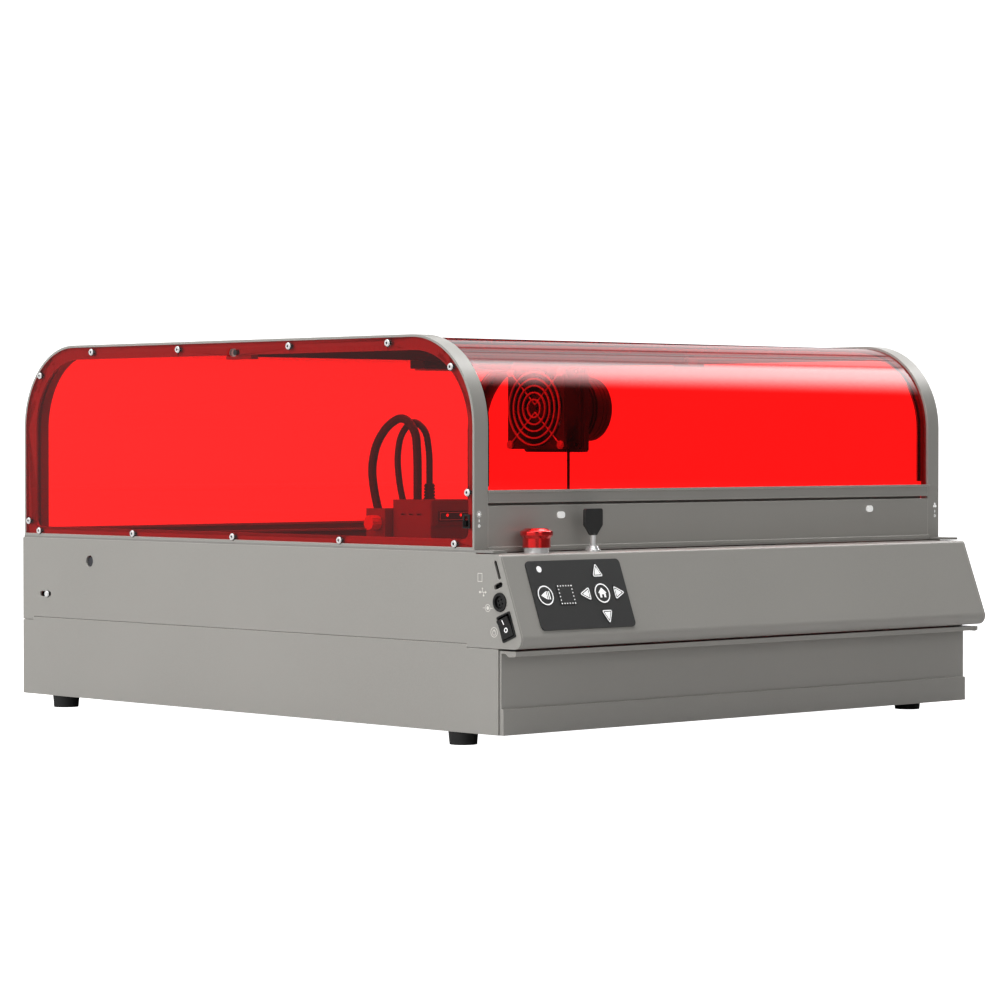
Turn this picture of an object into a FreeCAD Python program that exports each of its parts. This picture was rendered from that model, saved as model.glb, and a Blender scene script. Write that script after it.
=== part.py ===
import FreeCAD, Part
import math
import os

from FreeCAD import Vector

# Desktop laser cutter in an enclosed sheet-metal case, millimetres, +Z up.
# The model is laid out about the middle of the case (x = 0 mid width, y = 0 mid depth of the
# side panels, z = 0 under the feet) and moved at export so that the origin is the centre of
# the bottom of its overall box.

# ---- case
HALF_W = 280.0          # half the width over the side panels
BACK_Y = 317.0
CONSOLE_BACK_Y = -291.0  # where the control console starts
SHEET = 2.0             # folded steel sheet
FOOT_R = 12.0
BASE_Z = 10.5           # underside of the lower case, height of the feet
LOWER_H = 66.9          # height of the lower tier
UPPER_H = 74.4          # height of the upper tier's sides
SEAM_STEP = 2.9         # rise of the seam between its end tabs
SEAM_GAP = 0.5          # visible line between the two tiers
TAB_L = 26.4            # length of the tabs at the ends of the seam
FLANGE_W = 16.0         # inward flanges along the tier seam
DECK_RIM_X = 35.0       # width of the deck sheet at the sides, front and back
DECK_RIM_FRONT = 16.0
DECK_RIM_BACK = 17.0

SEAM_Z = BASE_Z + LOWER_H
DECK_Z = SEAM_Z + UPPER_H
DECK_TOP = DECK_Z + SHEET
DECK_HOLE_X = HALF_W - DECK_RIM_X
DECK_HOLE_Y0 = CONSOLE_BACK_Y + DECK_RIM_FRONT
DECK_HOLE_Y1 = BACK_Y - DECK_RIM_BACK
REAR_SILL_Z = DECK_TOP + 6.8
FOOT_X = HALF_W - FOOT_R
FOOT_FRONT_Y = CONSOLE_BACK_Y + 27.5
FOOT_BACK_Y = BACK_Y - 49.3
INNER_X = HALF_W - SHEET

# ---- control console
CONSOLE_TOP = DECK_Z - 0.8
CONSOLE_BOTTOM = SEAM_Z + 0.6
SLOPE_TOP_Y = CONSOLE_BACK_Y - 27.14    # where the sloping face meets the top plane
SLOPE_RUN = 0.385       # y per unit of z down the sloping face
TOP_BEND_R = 3.0
NOSE_R = 7.7

# ---- arched side frames that carry the windows and the lid
ARCH_H = 170.2
ARCH_R = 74.0
RIM_W = 14.7
LID_INSET = 2.0         # the lid's outer face lies this far inside the arch outline
LID_T = 3.0             # acrylic sheet
SEAL_GAP = 0.3          # running clearance between the lid and its seal
SEAL_T = 1.0
LEDGE_T = 1.6
LEDGE_W = 6.2
WINDOW_T = 3.0
FRAME_FLANGE = 12.5     # band of frame seen through the edge of a window
FRAME_FLANGE_FRONT = 10.0
FRAME_FLANGE_BACK = 14.0
SIDE_GAP = 0.3          # lid edge to rim

ARCH_Y0 = CONSOLE_BACK_Y + 1.8
ARCH_Y1 = BACK_Y - SHEET - 0.7
ARCH_TOP = DECK_TOP + ARCH_H
FRAME_SILL_Z = DECK_TOP + 8.2
RIM_X = HALF_W - RIM_W
LEDGE_SEAT = LID_INSET + LID_T + SEAL_GAP + SEAL_T    # inset of the ledge that carries the seal
LID_UNDER = ARCH_TOP - LID_INSET - LID_T

# ---- lid hinge
PIVOT_Y = 10.0
PIN_R = 2.4
PIN_FIT = 0.05          # radial running clearance
PIN_TIP = 0.6           # how far a pin stands inside the window's outer face
HINGE_BAR_W = 10.0
HINGE_SWING = 6.0       # room behind the lid's back edge for its swing
BEAM_W = 24.0
BEAM_H = 7.0

PIVOT_Z = ARCH_TOP - 10.5
LID_BACK_Y = PIVOT_Y + HINGE_BAR_W / 2
BEAM_Y0 = LID_BACK_Y + HINGE_SWING
BEAM_Y1 = BEAM_Y0 + BEAM_W
BEAM_BOTTOM = LID_UNDER - BEAM_H
HINGE_NOTCH_Y0 = PIVOT_Y - 11.0
HINGE_NOTCH_Y1 = BEAM_Y0 + 2.0

# ---- lid front edge and the fixed panel below it
PANEL_H = 34.4
PANEL_GAP = 2.2
HANDLE_H = 10.0

HANDLE_Z0 = DECK_TOP + PANEL_H + PANEL_GAP
HANDLE_Z1 = HANDLE_Z0 + HANDLE_H
LID_BOTTOM_Z = HANDLE_Z0 + SHEET
RIVET_X = 186.5
RIVET_Z = DECK_TOP + 26.3

# ---- exhaust fan on the right wall
FAN_SIDE = 80.0
FAN_T = 25.0
FAN_PITCH = 71.5
FAN_FLANGE_T = 4.0      # square flanges at both ends of the fan's round tunnel
FAN_BORE_R = 38.0
ADAPTER_T = 6.0
ADAPTER_OVER = 3.0      # how far the adapter plate reaches past the fan
DUCT_R = 32.0
DUCT_WALL = 2.0
DUCT_OUT = 40.0
DUCT_FIT = 0.5
DUCT_STEP = 0.4         # neck through the window, smaller than the collar

FAN_Y = ARCH_Y1 - 118.8
FAN_Z = ARCH_TOP - 53.0
ADAPTER_X1 = HALF_W - WINDOW_T
FAN_X1 = ADAPTER_X1 - ADAPTER_T
FAN_X0 = FAN_X1 - FAN_T
DUCT_X1 = HALF_W + DUCT_OUT
COLLAR_X0 = HALF_W + 0.5
FAN_AXLE_R = 2.0
FAN_HUB_R = 14.0

# ---- motion system
RAIL_W = 16.0
RAIL_H = 20.0
SLIDE_GAP = 0.3         # running clearance of every linear slide
GROOVE_H = 6.0
GROOVE_DEPTH = 6.0
XBEAM_H = 30.0
XBEAM_D = 30.0
BLOCK_W = 21.4          # gantry end block from the beam's end to the rail
CARR_W = 60.0

RAIL_X1 = INNER_X
RAIL_X0 = RAIL_X1 - RAIL_W
RAIL_Z0 = DECK_Z - 35.8
RAIL_Z1 = RAIL_Z0 + RAIL_H
RAIL_Y0 = CONSOLE_BACK_Y + 1.0
RAIL_Y1 = BACK_Y - SHEET - 25.0
GROOVE_Z0 = RAIL_Z0 + (RAIL_H - GROOVE_H) / 2
GROOVE_Z1 = GROOVE_Z0 + GROOVE_H
XBEAM_HALF = RAIL_X0 - SLIDE_GAP - BLOCK_W
XBEAM_Z1 = DECK_Z + 0.2
XBEAM_Z0 = XBEAM_Z1 - XBEAM_H
XBEAM_Y0 = -106.0
XBEAM_Y1 = XBEAM_Y0 + XBEAM_D
CARR_X0 = -XBEAM_HALF + 4.3
CARR_X1 = CARR_X0 + CARR_W
CARR_Y0 = XBEAM_Y0 - 7.0
CARR_Z0 = XBEAM_Z0 - 8.0
CARR_Z1 = XBEAM_Z1 + 5.0
POST_X0 = CARR_X0 + 22.0
POST_X1 = POST_X0 + 16.0
POST_D = 7.7
MOTOR_SIDE = 42.0

# ---- laser module
HEAD_W = 60.0
HEAD_D = 48.0
HEAD_H = 79.0
BRACKET_D = 23.7
KNOB_R = 6.0
BOOT_H = 13.0           # ribbed strain relief of the thin cable
KNOB_SHANK_R = 2.0
STEM_FIT = 0.3          # radial clearance of push stems and the thumb screw

BRACKET_Y1 = CARR_Y0 - SLIDE_GAP
HEAD_Y1 = BRACKET_Y1 - BRACKET_D
HEAD_Y0 = HEAD_Y1 - HEAD_D
HEAD_X0 = CARR_X0 + 4.0
HEAD_X1 = HEAD_X0 + HEAD_W
HEAD_Z0 = CARR_Z0 - 2.0
HEAD_TOP = HEAD_Z0 + HEAD_H
BRACKET_X0 = CARR_X0 - 3.7
BRACKET_TOP = HEAD_TOP - 7.5
KNOB_Y = BRACKET_Y1 - 14.7
KNOB_Z = BRACKET_TOP - 11.5

# ---- drawer
DRAWER_GAP = 0.3        # drawer front to the case behind it
DRAWER_SIDE = 1.3       # drawer front short of the case side
TRAY_WALL = 1.5
SLAT_COUNT = 19
SLAT_H = 16.0
SLAT_T = 1.5
TOOTH_H = 7.0
TEETH = 10
LIP_D = 16.3            # folded handle lip
RUNNER_H = 12.0

SHELL_FRONT_Y = CONSOLE_BACK_Y - 25.6   # front edge of the lower case, behind the drawer front
DRAWER_BACK_Y = SHELL_FRONT_Y - DRAWER_GAP
DRAWER_FACE_Y = DRAWER_BACK_Y - SHEET
DRAWER_HALF = HALF_W - DRAWER_SIDE
DRAWER_TOP = SEAM_Z - 1.1
LIP_Y = DRAWER_FACE_Y - LIP_D
TRAY_HALF = HALF_W - 18.0
TRAY_Z0 = BASE_Z + 4.5
TRAY_TOP = SEAM_Z - 15.4
TRAY_BACK_Y = BACK_Y - 17.0
SLAT_Z1 = TRAY_TOP - 2.0
SLAT_Z0 = SLAT_Z1 - SLAT_H
RUNNER_Z0 = TRAY_Z0 + 19.0
RUNNER_Z1 = RUNNER_Z0 + RUNNER_H
FRONT_Y = SHELL_FRONT_Y - 1.2           # front edge of the upper sides' lower tabs
TAB_FRONT_Y = FRONT_Y + TAB_L + 11.0
TAB_BACK_Y = BACK_Y - 16.4
SIDE_SLOT_Y0 = BACK_Y - 40.5
SIDE_SLOT_Y1 = BACK_Y - 28.7
SIDE_SLOT_Z = SEAM_Z + 24.1

# ---- controls
SWITCH_Y = CONSOLE_BACK_Y - 14.0
ESTOP_X = -HALF_W + 52.0
KEY_X = -HALF_W + 114.3
ESTOP_TRAVEL = 3.5
PAD_X0 = -HALF_W + 23.5
PAD_W = 103.0
PAD_X1 = PAD_X0 + PAD_W
PAD_S0 = 6.5
PAD_S1 = 63.5
PAD_T = 1.2
PAD_RIM = 2.0           # pad glued to the console this far inside its edge
KEY_FIT = 0.3
KEY_TRAVEL = 0.6
PORT_Y = SLOPE_TOP_Y
ROCKER_L = 21.0
ROCKER_W = 15.6
ROCKER_TILT = 7.0
ROCKER_FIT = 0.3
BEZEL_W = 1.3
ROCKER_Y = SLOPE_TOP_Y - 8.16
ROCKER_Z = CONSOLE_TOP - 55.8
SLIDER_Y = ARCH_Y0 + 8.3
SLIDER_Z = DECK_TOP + 22.3
SLIDER_TRAVEL = 3.0

TINY = 1e-6
UP = Vector(0, 0, 1)
PARTS = {}


# ---------------------------------------------------------------- small helpers
def box(x0, x1, y0, y1, z0, z1):
    return Part.makeBox(x1 - x0, y1 - y0, z1 - z0, Vector(x0, y0, z0))


def cyl_x(radius, x0, x1, y, z):
    return Part.makeCylinder(radius, x1 - x0, Vector(x0, y, z), Vector(1, 0, 0))


def cyl_y(radius, y0, y1, x, z):
    return Part.makeCylinder(radius, y1 - y0, Vector(x, y0, z), Vector(0, 1, 0))


def cyl_z(radius, z0, z1, x, y):
    return Part.makeCylinder(radius, z1 - z0, Vector(x, y, z0), UP)


def fuse(shapes):
    first = shapes[0]
    return first.fuse(shapes[1:]).removeSplitter() if len(shapes) > 1 else first


def cut(shape, tools):
    return shape.cut(tools) if tools else shape


def mirrored(shape):
    return shape.mirror(Vector(0, 0, 0), Vector(1, 0, 0))


def rounded_face(points, place):
    """Face of a closed outline whose points are (a, b) or (a, b, corner radius)."""
    corners = []
    for index, point in enumerate(points):
        here = Vector(point[0], point[1], 0)
        radius = point[2] if len(point) > 2 else 0.0
        if radius == 0.0:
            corners.append((here, None, here))
            continue
        before = points[index - 1]
        after = points[(index + 1) % len(points)]
        back = (Vector(before[0], before[1], 0) - here).normalize()
        ahead = (Vector(after[0], after[1], 0) - here).normalize()
        half = back.getAngle(ahead) / 2
        reach = radius / math.tan(half)
        inward = (back + ahead).normalize()
        centre = here + inward * (radius / math.sin(half))
        corners.append((here + back * reach, centre - inward * radius, here + ahead * reach))
    edges = []
    for index, (first, middle, last) in enumerate(corners):
        if middle is not None:
            edges.append(Part.Arc(place(first), place(middle), place(last)).toShape())
        following = corners[(index + 1) % len(corners)][0]
        if last.distanceToPoint(following) > TINY:
            edges.append(Part.makeLine(place(last), place(following)))
    return Part.Face(Part.Wire(edges))


def prism_x(points, x0, x1):
    """Outline in (y, z) pushed from x0 to x1."""
    face = rounded_face(points, lambda p: Vector(x0, p.x, p.y))
    return face.extrude(Vector(x1 - x0, 0, 0))


def prism_y(points, y0, y1):
    """Outline in (x, z) pushed from y0 to y1."""
    face = rounded_face(points, lambda p: Vector(p.x, y0, p.y))
    return face.extrude(Vector(0, y1 - y0, 0))


def prism_z(points, z0, z1):
    """Outline in (x, y) pushed from z0 to z1."""
    face = rounded_face(points, lambda p: Vector(p.x, p.y, z0))
    return face.extrude(Vector(0, 0, z1 - z0))


def rounded_rect(x0, x1, y0, y1, radius):
    return [(x0, y0, radius), (x1, y0, radius), (x1, y1, radius), (x0, y1, radius)]


def placed(shape, origin, across, along, out):
    """Shape drawn in a local frame, moved to origin with its axes across, along and out."""
    matrix = FreeCAD.Matrix(
        across.x, along.x, out.x, origin.x,
        across.y, along.y, out.y, origin.y,
        across.z, along.z, out.z, origin.z,
        0, 0, 0, 1)
    moved = shape.copy()
    moved.Placement = FreeCAD.Placement(matrix).multiply(shape.Placement)
    return moved


def slope_y(z, inset=0.0):
    """Y of the console's sloping face at height z, or of a face inset under it."""
    length = math.hypot(1, SLOPE_RUN)
    return SLOPE_TOP_Y - (CONSOLE_TOP - z) * SLOPE_RUN + inset * length


SLOPE_LEN = math.hypot(1, SLOPE_RUN)
DOWN_SLOPE = Vector(0, -SLOPE_RUN / SLOPE_LEN, -1 / SLOPE_LEN)
SLOPE_OUT = Vector(0, -1 / SLOPE_LEN, SLOPE_RUN / SLOPE_LEN)
SLOPE_ORIGIN = Vector(0, SLOPE_TOP_Y, CONSOLE_TOP)


def on_slope(shape):
    """Local x across the console, local y up the slope from its top edge, local z outwards."""
    return placed(shape, SLOPE_ORIGIN, Vector(1, 0, 0), DOWN_SLOPE * -1, SLOPE_OUT)


def on_left_side(shape, y, z):
    """Local x down the console's slope, local y forwards, local z out of the left side."""
    return placed(shape, Vector(-HALF_W, y, z), DOWN_SLOPE, SLOPE_OUT, Vector(-1, 0, 0))


def cable(points, radius):
    """Round cable along straight runs joined by tangent arcs."""
    edges = []
    start = points[0]
    for index in range(1, len(points) - 1):
        here = points[index]
        back = points[index - 1] - here
        ahead = points[index + 1] - here
        shorter = min(back.Length, ahead.Length)
        back.normalize()
        ahead.normalize()
        half = back.getAngle(ahead) / 2
        reach = shorter * CABLE_REACH
        bend = reach * math.tan(half)
        inward = (back + ahead).normalize()
        centre = here + inward * (bend / math.sin(half))
        first = here + back * reach
        last = here + ahead * reach
        edges.append(Part.makeLine(start, first))
        edges.append(Part.Arc(first, centre - inward * bend, last).toShape())
        start = last
    edges.append(Part.makeLine(start, points[-1]))
    path = Part.Wire(edges)
    ring = Part.Wire(Part.makeCircle(radius, points[0], points[1] - points[0]))
    return path.makePipeShell([ring], True, True)


CABLE_REACH = 0.45


def arch_solid(inset, x0, x1, bottom=DECK_TOP):
    """Arch outline drawn inwards by inset, as a plate from x0 to x1."""
    radius = ARCH_R - inset
    top = ARCH_TOP - inset
    front = ARCH_Y0 + inset
    back = ARCH_Y1 - inset
    return prism_x([(front, bottom), (back, bottom), (back, top, radius), (front, top, radius)], x0, x1)


def arch_band(outer, inner, x0, x1, bottom=DECK_TOP):
    """Open-bottomed band of the arch outline between two insets."""
    hole = arch_solid(inner, x0 - 1, x1 + 1, bottom - 1)
    return arch_solid(outer, x0, x1, bottom).cut(hole)


# ---------------------------------------------------------------- case, lower tier
def seam_outline(bottom_z, seam):
    """Side outline of the lower case with its raised tabs, seam being the top line."""
    high = seam + SEAM_STEP
    return [(SHELL_FRONT_Y, bottom_z), (BACK_Y, bottom_z), (BACK_Y, seam), (TAB_BACK_Y, seam),
            (TAB_BACK_Y, high), (TAB_FRONT_Y, high), (TAB_FRONT_Y, seam),
            (SHELL_FRONT_Y, seam)]


def lower_shell():
    side = prism_x(seam_outline(BASE_Z, SEAM_Z), -HALF_W, -HALF_W + SHEET)
    flange = box(-HALF_W + SHEET, -HALF_W + SHEET + FLANGE_W, SHELL_FRONT_Y, BACK_Y - SHEET,
                 SEAM_Z - SHEET, SEAM_Z)
    left = fuse([side, flange])
    floor = box(-HALF_W, HALF_W, SHELL_FRONT_Y, BACK_Y, BASE_Z, BASE_Z + SHEET)
    rear = box(-HALF_W, HALF_W, BACK_Y - SHEET, BACK_Y, BASE_Z, SEAM_Z)
    rear_flange = box(-HALF_W + SHEET, HALF_W - SHEET, BACK_Y - SHEET - FLANGE_W, BACK_Y - SHEET,
                      SEAM_Z - SHEET, SEAM_Z)
    shell = fuse([floor, left, mirrored(left), rear, rear_flange])
    holes = [cyl_z(2.2, BASE_Z - 1, BASE_Z + SHEET + 1, sx * FOOT_X, y)
             for sx in (-1, 1) for y in (FOOT_FRONT_Y, FOOT_BACK_Y)]
    return cut(shell, holes)


def feet():
    one = []
    for sx in (-1, 1):
        for y in (FOOT_FRONT_Y, FOOT_BACK_Y):
            pad = Part.makeCone(FOOT_R - 1, FOOT_R, BASE_Z, Vector(sx * FOOT_X, y, 0), UP)
            recess = cyl_z(5.0, -1, 4.0, sx * FOOT_X, y)
            screw = cyl_z(2.0, 3.0, BASE_Z + SHEET + 2, sx * FOOT_X, y)
            one.append(pad.cut(recess).fuse(screw).removeSplitter())
    return Part.makeCompound(one)


def slide_rails():
    """Fixed halves of the drawer slides: channels that open towards the tray."""
    x0 = TRAY_HALF + 6
    y0 = SHELL_FRONT_Y + 16.6
    y1 = BACK_Y - 27
    rail = box(x0, INNER_X, y0, y1, RUNNER_Z0 - SHEET, RUNNER_Z1 + SHEET)
    hollow = box(x0 - 1, INNER_X - SHEET, y0 - 1, y1 + 1, RUNNER_Z0, RUNNER_Z1)
    one = rail.cut(hollow)
    return Part.makeCompound([one, mirrored(one)])


# ---------------------------------------------------------------- case, upper tier
def console_outline(inset):
    """Outline of the console's sheet, inset under its outer face."""
    top = CONSOLE_TOP - inset
    bottom = CONSOLE_BOTTOM + inset
    back = CONSOLE_BACK_Y + inset
    return [(back, bottom), (back, top), (slope_y(top, inset), top, TOP_BEND_R + inset * 0),
            (slope_y(bottom, inset), bottom, NOSE_R - inset)]


def console_shell():
    outer = prism_x(console_outline(0), -HALF_W + SHEET, HALF_W - SHEET)
    inner = prism_x(console_outline(SHEET), -HALF_W + SHEET - 1, HALF_W - SHEET + 1)
    back = box(-HALF_W, HALF_W, CONSOLE_BACK_Y - SHEET, CONSOLE_BACK_Y + 1, CONSOLE_BOTTOM, CONSOLE_TOP)
    shell = outer.cut(inner)
    shell = fuse([shell, back.common(outer)])
    window = on_slope(box(PAD_X0 + PAD_RIM, PAD_X1 - PAD_RIM, -PAD_S1 + PAD_RIM, -PAD_S0 - PAD_RIM, -SHEET - 1, 1))
    holes = [window]
    holes.append(cyl_z(8.5, CONSOLE_TOP - SHEET - 1, CONSOLE_TOP + 1, ESTOP_X, SWITCH_Y))
    holes.append(cyl_z(5.0, CONSOLE_TOP - SHEET - 1, CONSOLE_TOP + 1, KEY_X, SWITCH_Y))
    return cut(shell, holes)


def upper_side_outline():
    high = SEAM_Z + SEAM_STEP
    gap = SEAM_GAP
    return [(BACK_Y, SEAM_Z + gap), (BACK_Y, DECK_Z), (CONSOLE_BACK_Y, DECK_Z),
            (CONSOLE_BACK_Y, CONSOLE_TOP), (SLOPE_TOP_Y, CONSOLE_TOP, TOP_BEND_R),
            (slope_y(CONSOLE_BOTTOM), CONSOLE_BOTTOM, NOSE_R), (FRONT_Y, CONSOLE_BOTTOM),
            (FRONT_Y, SEAM_Z + gap), (TAB_FRONT_Y, SEAM_Z + gap),
            (TAB_FRONT_Y, high + gap), (TAB_BACK_Y, high + gap), (TAB_BACK_Y, SEAM_Z + gap)]


def upper_side(x_sign):
    plate = prism_x(upper_side_outline(), -HALF_W, -HALF_W + SHEET)
    leg = box(-HALF_W + SHEET, -HALF_W + 2 * SHEET, CONSOLE_BACK_Y, BACK_Y - SHEET, SEAM_Z, SEAM_Z + 14)
    foot = box(-HALF_W + SHEET, -HALF_W + SHEET + FLANGE_W, CONSOLE_BACK_Y, BACK_Y - SHEET,
               SEAM_Z, SEAM_Z + SHEET)
    side = fuse([plate, leg, foot])
    slot = fuse([cyl_x(2.4, -HALF_W - 1, -INNER_X + 1, y, SIDE_SLOT_Z) for y in (SIDE_SLOT_Y0, SIDE_SLOT_Y1)]
                + [box(-HALF_W - 1, -INNER_X + 1, SIDE_SLOT_Y0, SIDE_SLOT_Y1, SIDE_SLOT_Z - 2.4, SIDE_SLOT_Z + 2.4)])
    hole = cyl_x(5.2, -HALF_W - 1, -INNER_X + 1, BACK_Y - 101.3, SEAM_Z + 55.1)
    side = cut(side, [slot, hole])
    return side if x_sign < 0 else mirrored(side)


def port_cut(width, length, y, z, radius):
    """Rounded opening through the left side: length down the slope, width across it."""
    outline = rounded_rect(-length / 2, length / 2, -width / 2, width / 2, radius)
    return on_left_side(prism_z(outline, -SHEET - 1, 1), y, z)


def upper_left_panel():
    ports = [port_cut(3.2, 15.5, CARD_Y, CARD_Z, 1.5), port_cut(10.0, 4.2, USB_Y, USB_Z, 2.0),
             port_cut(15.0, 15.0, JACK_Y, JACK_Z, 7.4),
             port_cut(ROCKER_W - 1.4, ROCKER_L - 1.4, ROCKER_Y, ROCKER_Z, 0.6)]
    return cut(upper_side(-1), ports)


CARD_Y = SLOPE_TOP_Y + 2.34
CARD_Z = CONSOLE_TOP - 12.0
USB_Y = SLOPE_TOP_Y + 1.34
USB_Z = CONSOLE_TOP - 24.2
JACK_Y = SLOPE_TOP_Y - 0.56
JACK_Z = CONSOLE_TOP - 36.9


def rear_panel():
    panel = box(-HALF_W + SHEET, HALF_W - SHEET, BACK_Y - SHEET, BACK_Y, SEAM_Z + SEAM_GAP, REAR_SILL_Z)
    low = box(-HALF_W + SHEET + FLANGE_W, HALF_W - SHEET - FLANGE_W, BACK_Y - SHEET - FLANGE_W,
              BACK_Y - SHEET, SEAM_Z, SEAM_Z + SHEET)
    sill = box(-HALF_W + RIM_W, HALF_W - RIM_W, ARCH_Y1 - LEDGE_SEAT + 0.1, BACK_Y - SHEET,
               REAR_SILL_Z - SHEET, REAR_SILL_Z)
    edge = box(-HALF_W + SHEET, HALF_W - SHEET, BACK_Y - SHEET, BACK_Y, SEAM_Z, SEAM_Z + 1)
    slots = [box(x - 2, x + 2, BACK_Y - SHEET - 1, BACK_Y + 1, SEAM_Z + 22, SEAM_Z + 52)
             for x in range(-60, 61, 12)]
    return cut(fuse([panel, low, sill, edge]), slots)


def deck_frame():
    plate = box(-HALF_W, HALF_W, CONSOLE_BACK_Y, BACK_Y - SHEET, DECK_Z, DECK_TOP)
    tab = box(-HALF_W, -HALF_W + RIM_W, SWITCH_Y - 6, CONSOLE_BACK_Y, DECK_Z, DECK_TOP)
    hole = box(-DECK_HOLE_X, DECK_HOLE_X, DECK_HOLE_Y0, DECK_HOLE_Y1, DECK_Z - 1, DECK_TOP + 1)
    return cut(fuse([plate, tab, mirrored(tab)]), [hole])


def front_panel():
    face = box(-HALF_W + RIM_W, HALF_W - RIM_W, ARCH_Y0, ARCH_Y0 + SHEET, DECK_TOP, HANDLE_Z0 - PANEL_GAP)
    toe = box(-HALF_W + RIM_W, HALF_W - RIM_W, ARCH_Y0 - 1.6, ARCH_Y0, DECK_TOP, DECK_TOP + SHEET)
    back = box(-HALF_W + RIM_W, HALF_W - RIM_W, ARCH_Y0 + SHEET, ARCH_Y0 + 12, DECK_TOP, DECK_TOP + SHEET)
    stop_half = HALF_W - RIM_W - SIDE_GAP
    stop = box(-stop_half, stop_half, ARCH_Y0 + 8, ARCH_Y0 + 9.5, DECK_TOP, HANDLE_Z0 + 4)
    holes = [cyl_y(1.6, ARCH_Y0 - 1, ARCH_Y0 + SHEET + 1, sx * RIVET_X, RIVET_Z) for sx in (-1, 1)]
    return cut(fuse([face, toe, back, stop]), holes)


def snap_rivets():
    both = []
    for sx in (-1, 1):
        outline = rounded_rect(sx * RIVET_X - 4.0, sx * RIVET_X + 4.0, RIVET_Z - 2.7, RIVET_Z + 2.7, 2.6)
        head = prism_y(outline, ARCH_Y0 - 1.2, ARCH_Y0)
        shank = cyl_y(1.5, ARCH_Y0, ARCH_Y0 + SHEET + 2, sx * RIVET_X, RIVET_Z)
        both.append(head.fuse(shank).removeSplitter())
    return Part.makeCompound(both)


# ---------------------------------------------------------------- arches and windows
SCREW_END_TOP = 102.4    # outer screws of the top row from the arch's ends
SCREW_INNER_TOP = 74.7   # inner screws of the top row from its middle
SCREW_END_LOW = 22.8     # outer screws of the bottom row from the arch's ends
SCREW_COUNT_LOW = 5
ARCH_MID = (ARCH_Y0 + ARCH_Y1) / 2
SCREW_PITCH_LOW = (ARCH_Y1 - ARCH_Y0 - 2 * SCREW_END_LOW) / (SCREW_COUNT_LOW - 1)
SCREW_TOP_Y = (ARCH_Y1 - SCREW_END_TOP, ARCH_MID + SCREW_INNER_TOP, ARCH_MID - SCREW_INNER_TOP,
               ARCH_Y0 + SCREW_END_TOP)
SCREW_LOW_Y = [ARCH_Y0 + SCREW_END_LOW + index * SCREW_PITCH_LOW for index in range(SCREW_COUNT_LOW)]
SCREW_SPOTS = ([(y, ARCH_TOP - 6.5) for y in SCREW_TOP_Y] + [(y, DECK_TOP + 4.4) for y in SCREW_LOW_Y]
               + [(ARCH_Y0 + 27.1, ARCH_TOP - 26.6), (ARCH_Y1 - 24.5, ARCH_TOP - 26.3),
                  (ARCH_Y0 + 7.4, DECK_TOP + 44.9), (ARCH_Y1 - 6.9, DECK_TOP + 13.0)])
SCREW_HEAD_R = 3.4
SCREW_R = 1.4
SCREW_FIT = 0.2


def screw_holes(x0, x1):
    return [cyl_x(SCREW_R + SCREW_FIT, x0, x1, y, z) for y, z in SCREW_SPOTS]


def pin_slot(x0, x1):
    """Oblong clearance around the lid's pivot pin."""
    grow = 1.0
    ends = [cyl_x(PIN_R + grow, x0, x1, y, PIVOT_Z) for y in (PIVOT_Y, PIVOT_Y + 7)]
    middle = box(x0, x1, PIVOT_Y, PIVOT_Y + 7, PIVOT_Z - PIN_R - grow, PIVOT_Z + PIN_R + grow)
    return fuse(ends + [middle])


def left_arch():
    outer = -HALF_W
    inner = -HALF_W + RIM_W
    rim = arch_band(0, SHEET, outer, inner)
    web = arch_band(SHEET - 0.1, LEDGE_SEAT + LEDGE_T, inner - SHEET, inner)
    ledge = arch_band(LEDGE_SEAT, LEDGE_SEAT + LEDGE_T, inner - SHEET, inner + LEDGE_W)
    plate = arch_solid(SHEET - 0.1, outer + WINDOW_T, outer + WINDOW_T + SHEET)
    y0 = ARCH_Y0 + FRAME_FLANGE_FRONT
    y1 = ARCH_Y1 - FRAME_FLANGE_BACK
    top = ARCH_TOP - FRAME_FLANGE
    hole = prism_x([(y0, FRAME_SILL_Z, 6), (y1, FRAME_SILL_Z, 6), (y1, top, ARCH_R - FRAME_FLANGE),
                    (y0, top, ARCH_R - FRAME_FLANGE_FRONT)], outer - 1, outer + RIM_W)
    sill = box(outer, inner, ARCH_Y0, ARCH_Y1, DECK_TOP, DECK_TOP + SHEET)
    bearing = box(outer + WINDOW_T + SHEET, inner - SHEET + 0.1, PIVOT_Y - 16, PIVOT_Y + 17,
                  PIVOT_Z - 5.5, ARCH_TOP - SHEET - 1)
    notch = box(inner - SHEET - 1, inner + LEDGE_W + 1, HINGE_NOTCH_Y0, HINGE_NOTCH_Y1,
                PIVOT_Z - 8.5, LID_UNDER)
    front_notch = box(inner + 0.01, inner + LEDGE_W + 1, ARCH_Y0 - 1, ARCH_Y0 + 12, DECK_TOP - 1, HANDLE_Z1 + 3)
    frame = fuse([rim, web, ledge, plate.cut(hole), sill])
    frame = cut(frame, [notch, front_notch])
    bearing = cut(bearing, [cyl_x(PIN_R + PIN_FIT, outer, inner + 1, PIVOT_Y, PIVOT_Z)])
    opening = [pin_slot(outer - 1, outer + WINDOW_T + SHEET)]
    frame = cut(frame, opening + screw_holes(outer, outer + WINDOW_T + SHEET + 1))
    return fuse([frame, bearing])


def window_plate(x_sign):
    outer = -HALF_W
    plate = arch_solid(SHEET + 0.2, outer, outer + WINDOW_T, DECK_TOP + SHEET + 0.2)
    plate = cut(plate, screw_holes(outer - 1, outer + WINDOW_T + 1) + [pin_slot(outer - 1, outer + WINDOW_T + 1)])
    if x_sign < 0:
        return plate
    plate = mirrored(plate)
    return cut(plate, [cyl_x(DUCT_R + DUCT_FIT, HALF_W - WINDOW_T - 1, HALF_W + 1, FAN_Y, FAN_Z)])


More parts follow.
